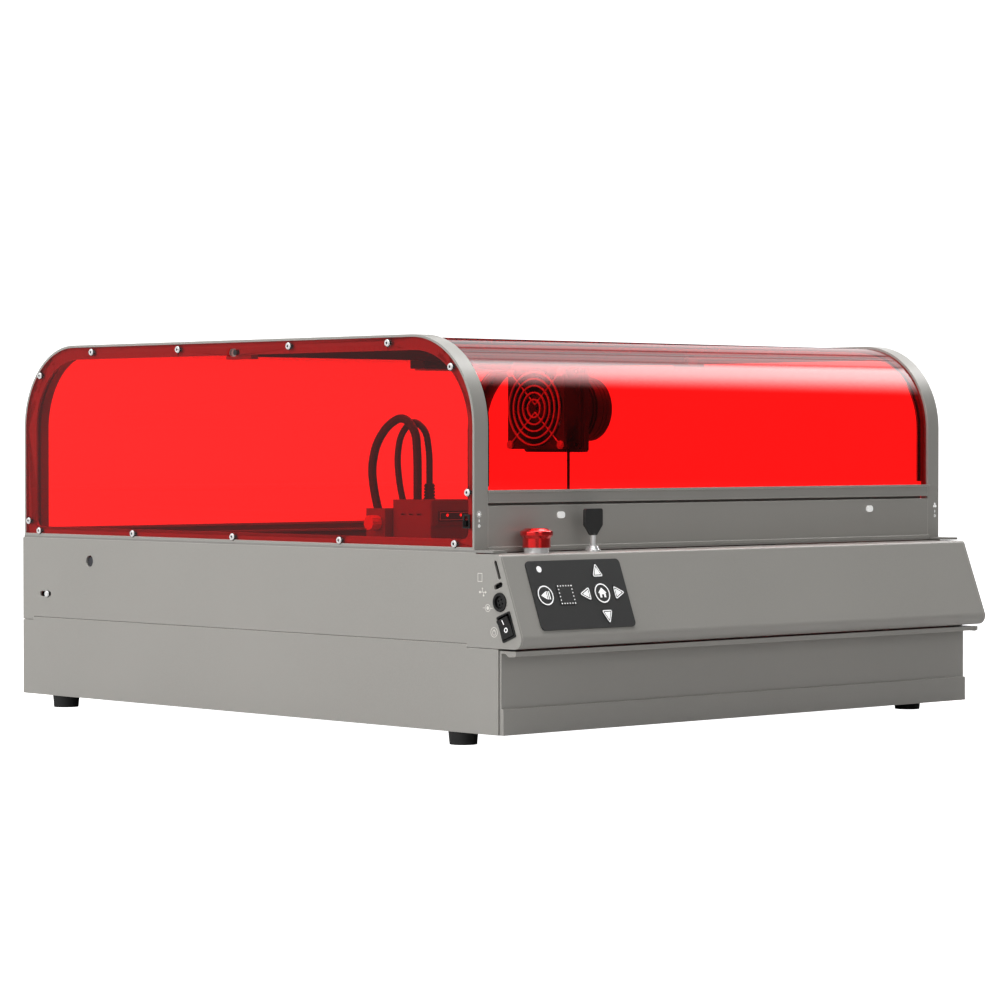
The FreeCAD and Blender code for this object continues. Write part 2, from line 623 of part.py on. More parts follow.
def window_screws():
    screws = []
    for y, z in SCREW_SPOTS:
        head = Part.makeCone(SCREW_HEAD_R, SCREW_HEAD_R - 1.0, 1.6, Vector(-HALF_W, y, z), Vector(-1, 0, 0))
        socket = cyl_x(1.2, -HALF_W - 2, -HALF_W - 0.6, y, z)
        shank = cyl_x(SCREW_R, -HALF_W, -HALF_W + WINDOW_T + SHEET + 1, y, z)
        screw = head.cut(socket).fuse(shank).removeSplitter()
        screws.append(screw)
        screws.append(mirrored(screw))
    y = SIDE_SLOT_Y0 + 3.0
    head = Part.makeCone(SCREW_HEAD_R, SCREW_HEAD_R - 1.0, 1.6, Vector(-HALF_W, y, SIDE_SLOT_Z), Vector(-1, 0, 0))
    slot_screw = head.fuse(cyl_x(1.8, -HALF_W, -HALF_W + SHEET + 4, y, SIDE_SLOT_Z)).removeSplitter()
    return Part.makeCompound(screws + [slot_screw, mirrored(slot_screw)])


def arch_seals():
    inner = -HALF_W + RIM_W
    band = arch_band(LEDGE_SEAT - SEAL_T, LEDGE_SEAT, inner + 0.5, inner + LEDGE_W)
    under_lid = box(inner, inner + LEDGE_W + 1, ARCH_Y0, HINGE_NOTCH_Y0, HANDLE_Z1 + 3, ARCH_TOP)
    rear_band = arch_band(LEDGE_SEAT - SEAL_T - SEAL_GAP, LEDGE_SEAT, inner + 0.5, inner + LEDGE_W)
    under_rear = box(inner, inner + LEDGE_W + 1, HINGE_NOTCH_Y1, ARCH_Y1, REAR_SILL_Z, ARCH_TOP)
    pieces = [band.common(under_lid), rear_band.common(under_rear)]
    return Part.makeCompound(pieces + [mirrored(p) for p in pieces])


def rear_cover():
    half = HALF_W - RIM_W - SIDE_GAP
    sheet = arch_band(LID_INSET, LID_INSET + LID_T, -half, half, REAR_SILL_Z)
    keep = box(-half, half, BEAM_Y0 + 1, ARCH_Y1, REAR_SILL_Z, ARCH_TOP)
    return sheet.common(keep)


def cross_beam():
    half = RIM_X - LEDGE_W
    top = LID_UNDER
    tube = box(-half, half, BEAM_Y0, BEAM_Y1, BEAM_BOTTOM, top)
    hollow = box(-half - 1, half + 1, BEAM_Y0 + SHEET, BEAM_Y1 - SHEET, BEAM_BOTTOM + SHEET, top - SHEET)
    return tube.cut(hollow)


LAMP_HALF = 54.0
LAMP_H = 8.5


def lamp():
    return box(-LAMP_HALF, LAMP_HALF, BEAM_Y0 + 2, BEAM_Y1 - 3, BEAM_BOTTOM - LAMP_H, BEAM_BOTTOM)


def lamp_lens():
    half = LAMP_HALF - 3
    top = BEAM_BOTTOM - LAMP_H
    return box(-half, half, BEAM_Y0 + 5, BEAM_Y1 - 6, top - 1.5, top)


# ---------------------------------------------------------------- lid
def lid_cover():
    half = HALF_W - RIM_W - SIDE_GAP
    sheet = arch_band(LID_INSET, LID_INSET + LID_T, -half, half, LID_BOTTOM_Z)
    keep = box(-half, half, ARCH_Y0, LID_BACK_Y, LID_BOTTOM_Z, ARCH_TOP)
    return sheet.common(keep)


def lid_handle():
    half = HALF_W - RIM_W - SIDE_GAP
    inner_half = half - LEDGE_W - 0.5
    face_y = ARCH_Y0 + LID_INSET
    back_y = face_y + LID_T
    face = box(-half, half, ARCH_Y0 - 0.1, face_y, HANDLE_Z0, HANDLE_Z1)
    base = box(-inner_half, inner_half, ARCH_Y0, back_y + SHEET, HANDLE_Z0, LID_BOTTOM_Z)
    rear = box(-inner_half, inner_half, back_y, back_y + SHEET, HANDLE_Z0, HANDLE_Z1)
    lip = box(-half - 1.2, half + 1.2, ARCH_Y0 - 1.9, ARCH_Y0 - 0.3, HANDLE_Z1 - 1.6, HANDLE_Z1)
    joint = box(-half, half, ARCH_Y0 - 0.4, ARCH_Y0 + 0.1, HANDLE_Z1 - 1.6, HANDLE_Z1)
    return fuse([face, base, rear, lip, joint])


def lid_hinge_bar():
    half = HALF_W - RIM_W - LEDGE_W - 0.5
    top = LID_UNDER
    bar = box(-half, half, PIVOT_Y - HINGE_BAR_W / 2, LID_BACK_Y, PIVOT_Z - 3.2, top)
    pin = cyl_x(PIN_R, -HALF_W + PIN_TIP, HALF_W - PIN_TIP, PIVOT_Y, PIVOT_Z)
    return fuse([bar, pin])


# ---------------------------------------------------------------- exhaust fan
def fan_corner_spots():
    half = FAN_PITCH / 2
    return [(FAN_Y + sy * half, FAN_Z + sz * half) for sy in (-1, 1) for sz in (-1, 1)]


def fan_frame():
    half = FAN_SIDE / 2
    outline = rounded_rect(FAN_Y - half, FAN_Y + half, FAN_Z - half, FAN_Z + half, 4)
    flanges = [prism_x(outline, FAN_X0, FAN_X0 + FAN_FLANGE_T), prism_x(outline, FAN_X1 - FAN_FLANGE_T, FAN_X1)]
    body = fuse(flanges + [cyl_x(half - 0.4, FAN_X0, FAN_X1, FAN_Y, FAN_Z)])
    tools = [cyl_x(FAN_BORE_R, FAN_X0 - 1, FAN_X1 + 1, FAN_Y, FAN_Z)]
    tools += [cyl_x(2.2, FAN_X0 - 1, FAN_X1 + 1, y, z) for y, z in fan_corner_spots()]
    body = cut(body, tools)
    hub = cyl_x(15, FAN_X1 - 3, FAN_X1, FAN_Y, FAN_Z)
    strut = box(FAN_X1 - 3, FAN_X1, FAN_Y - 2, FAN_Y + 2, FAN_Z, FAN_Z + FAN_BORE_R + 1)
    struts = [strut.rotate(Vector(0, FAN_Y, FAN_Z), Vector(1, 0, 0), angle) for angle in (30, 150, 270)]
    axle = cyl_x(FAN_AXLE_R, FAN_X0 + 6, FAN_X1 - 2, FAN_Y, FAN_Z)
    return fuse([body, hub, axle] + struts)


def fan_rotor():
    hub = cyl_x(FAN_HUB_R, FAN_X0 + 2, FAN_X1 - 4, FAN_Y, FAN_Z)
    blade = box(FAN_X0 + 3, FAN_X1 - 5, FAN_Y - 0.7, FAN_Y + 0.7, FAN_Z + FAN_HUB_R - 1,
                FAN_Z + FAN_BORE_R - 2)
    blade.rotate(Vector((FAN_X0 + FAN_X1) / 2 - 1, FAN_Y, FAN_Z), UP, 35)
    blades = []
    for index in range(7):
        one = blade.copy()
        one.rotate(Vector(0, FAN_Y, FAN_Z), Vector(1, 0, 0), index * 360 / 7)
        blades.append(one)
    rotor = fuse([hub] + blades)
    return cut(rotor, [cyl_x(FAN_AXLE_R + PIN_FIT, FAN_X0 - 1, FAN_X1, FAN_Y, FAN_Z)])


GUARD_X0 = FAN_X0 - 3.0
GUARD_WIRE = 1.6
GUARD_BEND = 3.8        # the two bent cross wires pass this far from the middle
GUARD_RADII = (8.8, 15.7, 22.4, 29.2, 36.0)


def fan_guard():
    pieces = []
    for radius in GUARD_RADII:
        ring = cyl_x(radius + GUARD_WIRE / 2, GUARD_X0, GUARD_X0 + GUARD_WIRE, FAN_Y, FAN_Z)
        pieces.append(ring.cut(cyl_x(radius - GUARD_WIRE / 2, GUARD_X0 - 1, GUARD_X0 + 3, FAN_Y, FAN_Z)))
    wire_x = GUARD_X0 + GUARD_WIRE + 0.5
    for sz in (-1, 1):
        bend = Vector(wire_x, FAN_Y, FAN_Z + sz * GUARD_BEND)
        pieces.append(Part.makeSphere(GUARD_WIRE / 2, bend))
        for sy in (-1, 1):
            leg = Vector(0, sy * FAN_PITCH / 2, sz * (FAN_PITCH / 2 - GUARD_BEND))
            pieces.append(Part.makeCylinder(GUARD_WIRE / 2, leg.Length, bend, leg))
    for y, z in fan_corner_spots():
        loop = cyl_x(4.2, GUARD_X0 + 1.2, FAN_X0, y, z).cut(cyl_x(2.8, GUARD_X0, FAN_X0 + 1, y, z))
        screw = cyl_x(2.9, GUARD_X0 + 0.6, FAN_X0, y, z)
        pieces += [loop, screw]
    return fuse(pieces)


def duct_collar():
    half = FAN_SIDE / 2
    wide = half + ADAPTER_OVER
    outline = rounded_rect(FAN_Y - wide, FAN_Y + wide, FAN_Z - wide, FAN_Z + half, 4)
    plate = prism_x(outline, FAN_X1, ADAPTER_X1)
    neck = cyl_x(DUCT_R - DUCT_STEP, FAN_X1, COLLAR_X0, FAN_Y, FAN_Z)
    tube = cyl_x(DUCT_R, COLLAR_X0, DUCT_X1, FAN_Y, FAN_Z)
    bore = cyl_x(DUCT_R - DUCT_WALL, FAN_X1 - 1, DUCT_X1 + 1, FAN_Y, FAN_Z)
    grooves = [Part.makeTorus(DUCT_R, 0.7, Vector(x, FAN_Y, FAN_Z), Vector(1, 0, 0))
               for x in (DUCT_X1 - 12, DUCT_X1 - 7)]
    return cut(fuse([plate, neck, tube]), [bore] + grooves)


def fan_cable():
    low = FAN_Z - FAN_SIDE / 2
    return cyl_z(1.4, DECK_TOP + SHEET, low, FAN_X1 - FAN_FLANGE_T / 2, FAN_Y - 22.5)


# ---------------------------------------------------------------- motion system
def y_rails():
    rail = box(RAIL_X0, RAIL_X1, RAIL_Y0, RAIL_Y1, RAIL_Z0, RAIL_Z1)
    groove = box(RAIL_X0 - 1, RAIL_X0 + GROOVE_DEPTH, RAIL_Y0 - 1, RAIL_Y1 + 1, GROOVE_Z0, GROOVE_Z1)
    one = rail.cut(groove)
    return Part.makeCompound([one, mirrored(one)])


def y_motor():
    x = -RAIL_X0 + MOTOR_SIDE / 2
    y = BACK_Y - SHEET - MOTOR_SIDE / 2
    half = MOTOR_SIDE / 2
    top = RAIL_Z0 + 26
    body = box(x - half, x + half, y - half, y + half, top - MOTOR_SIDE, top)
    boss = cyl_z(11, top, top + 2, x, y)
    shaft = cyl_z(2.5, top + 2, top + 8, x, y)
    return fuse([body, boss, shaft])


def x_beam():
    tube = box(-XBEAM_HALF, XBEAM_HALF, XBEAM_Y0, XBEAM_Y1, XBEAM_Z0, XBEAM_Z1)
    far = XBEAM_HALF + 1
    front_slot = box(-far, far, XBEAM_Y0 - 1, XBEAM_Y0 + 6, XBEAM_Z0 + 11, XBEAM_Z0 + 19)
    top_slot = box(-far, far, XBEAM_Y0 + 11, XBEAM_Y0 + 19, XBEAM_Z1 - 6, XBEAM_Z1 + 1)
    return cut(tube, [front_slot, top_slot])


def gantry_ends():
    block = box(XBEAM_HALF, RAIL_X0 - SLIDE_GAP, XBEAM_Y0 - 4, XBEAM_Y1 + 4,
                XBEAM_Z0 - 12, XBEAM_Z0 + 26)
    tongue = box(RAIL_X0 - 1, RAIL_X0 + GROOVE_DEPTH - SLIDE_GAP, XBEAM_Y0 - 4, XBEAM_Y1 + 4,
                 GROOVE_Z0 + SLIDE_GAP, GROOVE_Z1 - SLIDE_GAP)
    one = fuse([block, tongue])
    return Part.makeCompound([one, mirrored(one)])


def x_motor():
    x1 = XBEAM_HALF - 8.3
    x0 = x1 - MOTOR_SIDE
    z0 = XBEAM_Z0 - 12
    back = XBEAM_Y1 + 40
    body = box(x0, x1, XBEAM_Y1, back, z0, z0 + 40)
    return fuse([body, cyl_y(8, back, back + 3, (x0 + x1) / 2, z0 + 20)])


def carriage():
    plate = box(CARR_X0, CARR_X1, CARR_Y0, XBEAM_Y0 - SLIDE_GAP, CARR_Z0, CARR_Z1)
    top = box(CARR_X0, CARR_X1, CARR_Y0, XBEAM_Y1 - 1, XBEAM_Z1 + SLIDE_GAP, CARR_Z1)
    low = box(CARR_X0, CARR_X1, CARR_Y0, XBEAM_Y1 - 1, CARR_Z0, XBEAM_Z0 - SLIDE_GAP)
    post = box(POST_X0, POST_X1, BRACKET_Y1 - POST_D, CARR_Y0 + 1, CARR_Z0, CARR_Z1)
    return fuse([plate, top, low, post])


# ---------------------------------------------------------------- laser module
def module_bracket():
    body = box(BRACKET_X0, CARR_X1, HEAD_Y1, BRACKET_Y1, HEAD_Z0, BRACKET_TOP)
    slot = box(POST_X0 - SLIDE_GAP, POST_X1 + SLIDE_GAP, BRACKET_Y1 - POST_D - SLIDE_GAP,
               BRACKET_Y1 + 1, HEAD_Z0 - 1, CARR_Z1 + 8)
    bore = cyl_x(KNOB_SHANK_R + STEM_FIT, BRACKET_X0 - 1, BRACKET_X0 + 10, KNOB_Y, KNOB_Z)
    return cut(body, [slot, bore])


def laser_module():
    body = prism_z(rounded_rect(HEAD_X0, HEAD_X1, HEAD_Y0, HEAD_Y1, 2.0), HEAD_Z0, HEAD_TOP)
    grooves = []
    for index in range(3):
        y = HEAD_Y0 + 11.5 + index * 9.8
        grooves.append(box(HEAD_X0 - 1, HEAD_X0 + 3, y, y + 6, HEAD_TOP - 12.6, HEAD_TOP - 11.4))
    for index in range(5):
        z = HEAD_Z0 + 30 + index * 4
        grooves.append(box(HEAD_X0 - 1, HEAD_X0 + 3, HEAD_Y0 + 12, HEAD_Y1 - 14, z, z + 2))
    band = box(HEAD_X0 - 1, HEAD_X1 + 1, HEAD_Y0 - 1, HEAD_Y0 + 0.6,
               HEAD_Z0 + 38, HEAD_Z0 + 58)
    body = cut(body, grooves + [band])
    middle_x = (HEAD_X0 + HEAD_X1) / 2
    middle_y = (HEAD_Y0 + HEAD_Y1) / 2
    shroud = Part.makeCone(17, 13, 14, Vector(middle_x, middle_y, HEAD_Z0), Vector(0, 0, -1))
    nozzle = cyl_z(6, HEAD_Z0 - 22, HEAD_Z0 - 14, middle_x, middle_y)
    return fuse([body, shroud, nozzle])


def module_label():
    return box(HEAD_X0 + 8, HEAD_X1 - 8, HEAD_Y0 - 0.8, HEAD_Y0,
               HEAD_TOP - 17.5, HEAD_TOP - 9.0)


def head_point(x, y, z):
    """Point counted from the laser module's left front top corner."""
    return Vector(HEAD_X0 + x, HEAD_Y0 + y, HEAD_TOP + z)


def module_cables():
    thick = cable([head_point(0, 64.2, -12), head_point(0.2, 71, 7), head_point(0.6, 74.5, 26),
                   head_point(1, 69, 46), head_point(3, 57, 61), head_point(7, 42, 69),
                   head_point(11, 31, 56), head_point(12, 30, 34), head_point(12, 30, 0)], 3.5)
    thick = cut(thick, [cyl_z(12, BRACKET_TOP - 20, BRACKET_TOP, HEAD_X0, HEAD_Y0 + 65)])
    thin = cable([head_point(7.4, 40.5, -8), head_point(9.8, 50, 12), head_point(12, 55.5, 34),
                  head_point(13.5, 53, 53), head_point(17, 42, 66), head_point(22.5, 31.5, 57),
                  head_point(24, 28.8, 38), head_point(24, 28.8, BOOT_H - 1)], 2.7)
    thin = cut(thin, [cyl_z(12, HEAD_TOP - 20, HEAD_TOP, HEAD_X0 + 8, HEAD_Y0 + 42)])
    boot = [cyl_z(3.8, HEAD_TOP, HEAD_TOP + BOOT_H, HEAD_X0 + 24, HEAD_Y0 + 28.8)]
    for index in range(5):
        low = HEAD_TOP + index * 2.6
        boot.append(cyl_z(4.9 - index * 0.1, low, low + 1.6, HEAD_X0 + 24, HEAD_Y0 + 28.8))
    bore = cyl_z(2.7, HEAD_TOP + BOOT_H - 1, HEAD_TOP + BOOT_H + 1, HEAD_X0 + 24, HEAD_Y0 + 28.8)
    return Part.makeCompound([thick, thin, cut(fuse(boot), [bore])])


def focus_knob():
    head = cyl_x(KNOB_R, BRACKET_X0 - 10.3, BRACKET_X0 - 0.6, KNOB_Y, KNOB_Z)
    grooves = []
    for index in range(12):
        angle = math.radians(index * 30)
        y = KNOB_Y + (KNOB_R + 0.3) * math.cos(angle)
        z = KNOB_Z + (KNOB_R + 0.3) * math.sin(angle)
        grooves.append(cyl_x(0.8, BRACKET_X0 - 11, BRACKET_X0, y, z))
    shank = cyl_x(KNOB_SHANK_R, BRACKET_X0 - 1, BRACKET_X0 + 9, KNOB_Y, KNOB_Z)
    return fuse([cut(head, grooves), shank])


# ---------------------------------------------------------------- drawer
def drawer_front():
    strip_y = DRAWER_FACE_Y - 2.3
    strip_top = BASE_Z + 20.6
    panel = box(-DRAWER_HALF, DRAWER_HALF, DRAWER_FACE_Y, DRAWER_BACK_Y, BASE_Z, DRAWER_TOP)
    strip = box(-DRAWER_HALF, DRAWER_HALF, strip_y, DRAWER_FACE_Y, BASE_Z, strip_top)
    bevel = prism_x([(strip_y - 0.7, strip_top - 1), (strip_y - 0.7, strip_top + 1.9),
                     (strip_y + 1.4, strip_top + 1.9)], -HALF_W, HALF_W)
    lip = box(-DRAWER_HALF, DRAWER_HALF, LIP_Y, DRAWER_FACE_Y, DRAWER_TOP - SHEET, DRAWER_TOP)
    fold = box(-DRAWER_HALF, DRAWER_HALF, LIP_Y, LIP_Y + SHEET, DRAWER_TOP - 3.7, DRAWER_TOP - 1)
    under = DRAWER_TOP - SHEET + 0.1
    gusset = prism_x([(LIP_Y + 1.9, under), (LIP_Y + 1.9, under - 2.5), (LIP_Y + 8.2, under - 2.5),
                      (LIP_Y + 11.7, under)], -DRAWER_HALF, -DRAWER_HALF + SHEET)
    return fuse([panel, cut(strip, [bevel]), lip, fold, gusset, mirrored(gusset)])


def drawer_tray():
    y0 = DRAWER_BACK_Y
    outer = box(-TRAY_HALF, TRAY_HALF, y0, TRAY_BACK_Y, TRAY_Z0, TRAY_TOP)
    inner = box(-TRAY_HALF + TRAY_WALL, TRAY_HALF - TRAY_WALL, y0 + TRAY_WALL, TRAY_BACK_Y - TRAY_WALL,
                TRAY_Z0 + TRAY_WALL, TRAY_TOP + 1)
    tray = outer.cut(inner)
    shelf = box(-TRAY_HALF + TRAY_WALL, -TRAY_HALF + 16, y0 + TRAY_WALL, TRAY_BACK_Y - TRAY_WALL,
                SLAT_Z0 - 1.5, SLAT_Z0)
    return fuse([tray, shelf, mirrored(shelf)])


def drawer_runners():
    web = box(TRAY_HALF, INNER_X - SHEET - SLIDE_GAP, DRAWER_BACK_Y + 20, TRAY_BACK_Y - 20,
              RUNNER_Z0 + SLIDE_GAP, RUNNER_Z1 - SLIDE_GAP)
    return Part.makeCompound([web, mirrored(web)])


def slat_bed():
    half = TRAY_HALF - TRAY_WALL - 1
    y0 = DRAWER_BACK_Y + 48
    y1 = TRAY_BACK_Y - 47
    pitch = (y1 - y0) / (SLAT_COUNT - 1)
    step = 2 * (half - 12) / TEETH
    root = SLAT_Z1 - TOOTH_H
    slats = []
    for index in range(SLAT_COUNT):
        y = y0 + index * pitch
        points = [(-half + 4, SLAT_Z0), (half - 4, SLAT_Z0), (half - 4, root)]
        for tooth in range(TEETH):
            x = half - 12 - tooth * step
            points += [(x, root), (x - step / 2, SLAT_Z1)]
        points += [(-half + 12, root), (-half + 4, root)]
        slats.append(prism_y(points, y - SLAT_T / 2, y + SLAT_T / 2))
    for sx in (-1, 1):
        x = sx * (half - 3)
        slats.append(box(x - 2, x + 2, y0 - 6, y1 + 6, SLAT_Z0, root + 1))
    return fuse(slats)


# ---------------------------------------------------------------- controls on the console
COLLAR_R = 10.0
STEM_R = 3.0
SHANK_R = 2.3
KEY_COLLAR_H = 4.4
KEY_T = 2.8             # thickness of the key's head


def estop_collar():
    ring = cyl_z(COLLAR_R, CONSOLE_TOP, CONSOLE_TOP + 6, ESTOP_X, SWITCH_Y)
    barrel = cyl_z(8.0, CONSOLE_TOP - 19, CONSOLE_TOP, ESTOP_X, SWITCH_Y)
    bore = cyl_z(STEM_R + STEM_FIT, CONSOLE_TOP - 15, CONSOLE_TOP + 7, ESTOP_X, SWITCH_Y)
    return fuse([ring, barrel]).cut(bore)


def revolve_z(points, x, y):
    """Solid of revolution about a vertical line, from an outline in (radius, z)."""
    face = rounded_face(points, lambda p: Vector(x + p.x, y, p.y))
    return face.revolve(Vector(x, y, 0), UP, 360)


def estop_head():
    skirt = COLLAR_R + STEM_FIT
    outline = [(0, -6), (STEM_R, -6), (STEM_R, 10), (skirt, 10), (skirt, 4.2), (skirt + 1, 4.2),
               (skirt + 1, 11.5), (skirt + 3, 14), (skirt + 3, 17, 1.5), (skirt - 1.3, 19.6, 4.0),
               (0, 20)]
    return revolve_z([(p[0], p[1] + CONSOLE_TOP) + p[2:] for p in outline], ESTOP_X, SWITCH_Y)


def key_barrel():
    washer = cyl_z(6.6, CONSOLE_TOP, CONSOLE_TOP + 1.2, KEY_X, SWITCH_Y)
    cone = Part.makeCone(6.0, 4.3, KEY_COLLAR_H - 1.2, Vector(KEY_X, SWITCH_Y, CONSOLE_TOP + 1.2))
    barrel = cyl_z(4.7, CONSOLE_TOP - 17, CONSOLE_TOP, KEY_X, SWITCH_Y)
    bore = cyl_z(SHANK_R + STEM_FIT, CONSOLE_TOP - 13, CONSOLE_TOP + 5, KEY_X, SWITCH_Y)
    return fuse([washer, cone, barrel]).cut(bore)


def key():
    neck = CONSOLE_TOP + 12.8
    shoulder = neck + 8.1
    top = shoulder + 13.2
    shank = cyl_z(SHANK_R, CONSOLE_TOP - 12, neck + 1, KEY_X, SWITCH_Y)
    half = 9.7
    bow = prism_y([(KEY_X - 3.2, neck, 0.8), (KEY_X + 3.2, neck, 0.8), (KEY_X + half, shoulder, 1.5),
                   (KEY_X + half, top, 2.0), (KEY_X - half, top, 2.0), (KEY_X - half, shoulder, 1.5)],
                  SWITCH_Y - KEY_T / 2, SWITCH_Y + KEY_T / 2)
    return fuse([shank, bow])


def key_shape(kind, x, s, grow):
    """Outline of one keypad key in the slope frame, grown all round by grow."""
    y = -s
    if kind == "round":
        return Part.Face(Part.Wire(Part.makeCircle(8.4 + grow, Vector(x, y, 0), UP)))
    if kind == "square":
        half = 8.4 + grow
        return rounded_face(rounded_rect(x - half, x + half, y - half, y + half, 2.0), lambda p: p)
    length = 5.9 + grow * 1.6
    half = 6.6 + grow * 1.6
    corners = {
        "left": [(x - length, y), (x + length, y - half), (x + length, y + half)],
        "right": [(x + length, y), (x - length, y + half), (x - length, y - half)],
        "up": [(x, y + length), (x - half, y - length), (x + half, y - length)],
        "down": [(x, y - length), (x + half, y + length), (x - half, y + length)]}[kind]
    return rounded_face([(a, b, 1.2) for a, b in corners], lambda p: p)


KEYS = {
    "key_start": ("round", PAD_X0 + 12.5, 34.9), "key_frame": ("square", PAD_X0 + 35.1, 34.9),
    "key_left": ("left", PAD_X0 + 54.9, 34.9), "key_home": ("round", PAD_X0 + 74.4, 34.9),
    "key_right": ("right", PAD_X0 + 93.9, 34.9), "key_up": ("up", PAD_X0 + 74.4, 14.8),
    "key_down": ("down", PAD_X0 + 74.4, 55.2)}
KEY_FLANGE = 1.2        # how far a key spreads under the pad, so that it can't come out


def keypad_panel():
    outline = rounded_rect(PAD_X0, PAD_X1, -PAD_S1, -PAD_S0, 4.0)
    pad = prism_z(outline, 0, PAD_T)
    tools = []
    for kind, x, s in KEYS.values():
        face = key_shape(kind, x, s, KEY_FIT)
        face.translate(Vector(0, 0, -1))
        tools.append(face.extrude(Vector(0, 0, PAD_T + 2)))
    led = Part.makeCylinder(2.0, PAD_T + 2, Vector(PAD_X0 + 13, -13.4, -1), UP)
    return on_slope(cut(pad, tools + [led]))


def keypad_board():
    board = box(PAD_X0, PAD_X1, -PAD_S1 + 1, -PAD_S0, -SHEET - 1.2, -SHEET)
    led = Part.makeCylinder(1.9, PAD_T + SHEET + 0.4, Vector(PAD_X0 + 13, -13.4, -SHEET - 0.4), UP)
    return on_slope(fuse([board, led]))


def pad_key(name):
    kind, x, s = KEYS[name]
    cap = key_shape(kind, x, s, 0)
    cap.translate(Vector(0, 0, -0.6))
    cap = cap.extrude(Vector(0, 0, PAD_T + 0.6 + 0.5))
    flange = key_shape(kind, x, s, KEY_FLANGE)
    flange.translate(Vector(0, 0, -0.9))
    flange = flange.extrude(Vector(0, 0, 0.6))
    edge = PAD_RIM + KEY_FIT
    flange = flange.common(box(PAD_X0 + edge, PAD_X1 - edge, -PAD_S1 + edge, -PAD_S0 - edge, -2, 1))
    return on_slope(fuse([cap, flange]))


# ---------------------------------------------------------------- ports and switches on the left
def port_sockets():
    """Card reader, data socket, power socket and the power switch's housing."""
    card = cut(on_left_side(prism_z(rounded_rect(-9, 9, -3.6, 3.6, 0.6), -10, -SHEET), CARD_Y, CARD_Z),
               [port_cut(2.4, 14.5, CARD_Y, CARD_Z, 1.0).translate(Vector(4, 0, 0))])
    usb = on_left_side(prism_z(rounded_rect(-3.2, 3.2, -5.8, 5.8, 2.0), -10, -SHEET), USB_Y, USB_Z)
    usb_hollow = on_left_side(prism_z(rounded_rect(-1.6, 1.6, -4.4, 4.4, 1.5), -9, 1), USB_Y, USB_Z)
    tongue = on_left_side(box(-0.4, 0.4, -3.4, 3.4, -9.5, -2.6), USB_Y, USB_Z)
    usb = fuse([cut(usb, [usb_hollow]), tongue])
    jack = on_left_side(Part.makeCylinder(7.3, 14, Vector(0, 0, -13), UP), JACK_Y, JACK_Z)
    recess = on_left_side(Part.makeCylinder(5.2, 4, Vector(0, 0, -1.4), UP), JACK_Y, JACK_Z)
    insert = on_left_side(Part.makeCylinder(3.9, 8, Vector(0, 0, -8.5), UP), JACK_Y, JACK_Z)
    pin_holes = [on_left_side(Part.makeCylinder(0.8, 6.5, Vector(a, b, -6.5), UP), JACK_Y, JACK_Z)
                 for a, b in ((-1.6, -1.6), (1.6, -1.6), (-1.6, 1.6), (1.6, 1.6))]
    jack = cut(cut(jack, [recess]).fuse(insert), pin_holes)
    length = ROCKER_L / 2
    width = ROCKER_W / 2
    bezel = prism_z(rounded_rect(-length, length, -width, width, 1.0), 0, 0.9)
    sleeve = box(-length + 0.75, length - 0.75, -width + 0.75, width - 0.75, -17, 0.1)
    hollow = box(-length + BEZEL_W, length - BEZEL_W, -width + BEZEL_W, width - BEZEL_W, -15, 2)
    axle = Part.makeCylinder(1.2, ROCKER_W - 2, Vector(0, -width + 1, -4.5), Vector(0, 1, 0))
    housing = on_left_side(fuse([bezel, sleeve]).cut(hollow).fuse(axle), ROCKER_Y, ROCKER_Z)
    return Part.makeCompound([card, usb, jack, housing, slider_plates()])


def power_rocker():
    """Seesaw button: two flats that meet over the axle, one of them pressed in."""
    length = ROCKER_L / 2 - BEZEL_W - 1.4
    width = ROCKER_W / 2 - BEZEL_W - ROCKER_FIT
    rise = length * math.tan(math.radians(ROCKER_TILT))
    pivot = Vector(0, 0, -4.5)
    points = [(-length, 2.6), (-length, -2.5), (-2.8, -7.2), (2.8, -7.2), (length, -2.5), (length, 2.6),
              (0, 2.6 - rise)]
    face = rounded_face(points, lambda p: Vector(p.x, -width, p.y))
    body = face.extrude(Vector(0, 2 * width, 0))
    bore = Part.makeCylinder(1.2 + PIN_FIT, 2 * width + 2, Vector(0, -width - 1, -4.5), Vector(0, 1, 0))
    body = body.cut(bore)
    body.rotate(pivot, Vector(0, 1, 0), ROCKER_TILT)
    return on_left_side(body, ROCKER_Y, ROCKER_Z)


def slider_plates():
    plate = box(-HALF_W - 1.0, -HALF_W, SLIDER_Y - 4.0, SLIDER_Y + 4.0, SLIDER_Z - 5.5, SLIDER_Z + 5.5)
    slot = box(-HALF_W - 2, -HALF_W + 1, SLIDER_Y - 2.0, SLIDER_Y + 2.0, SLIDER_Z - 4.2, SLIDER_Z + 4.2)
    one = plate.cut(slot)
    return Part.makeCompound([one, mirrored(one)])


def slider_knob(x_sign):
    low = SLIDER_Z - 4.0
    knob = box(-HALF_W - 2.6, -HALF_W - 0.05, SLIDER_Y - 1.7, SLIDER_Y + 1.7, low, low + 4.6)
    return knob if x_sign < 0 else mirrored(knob)


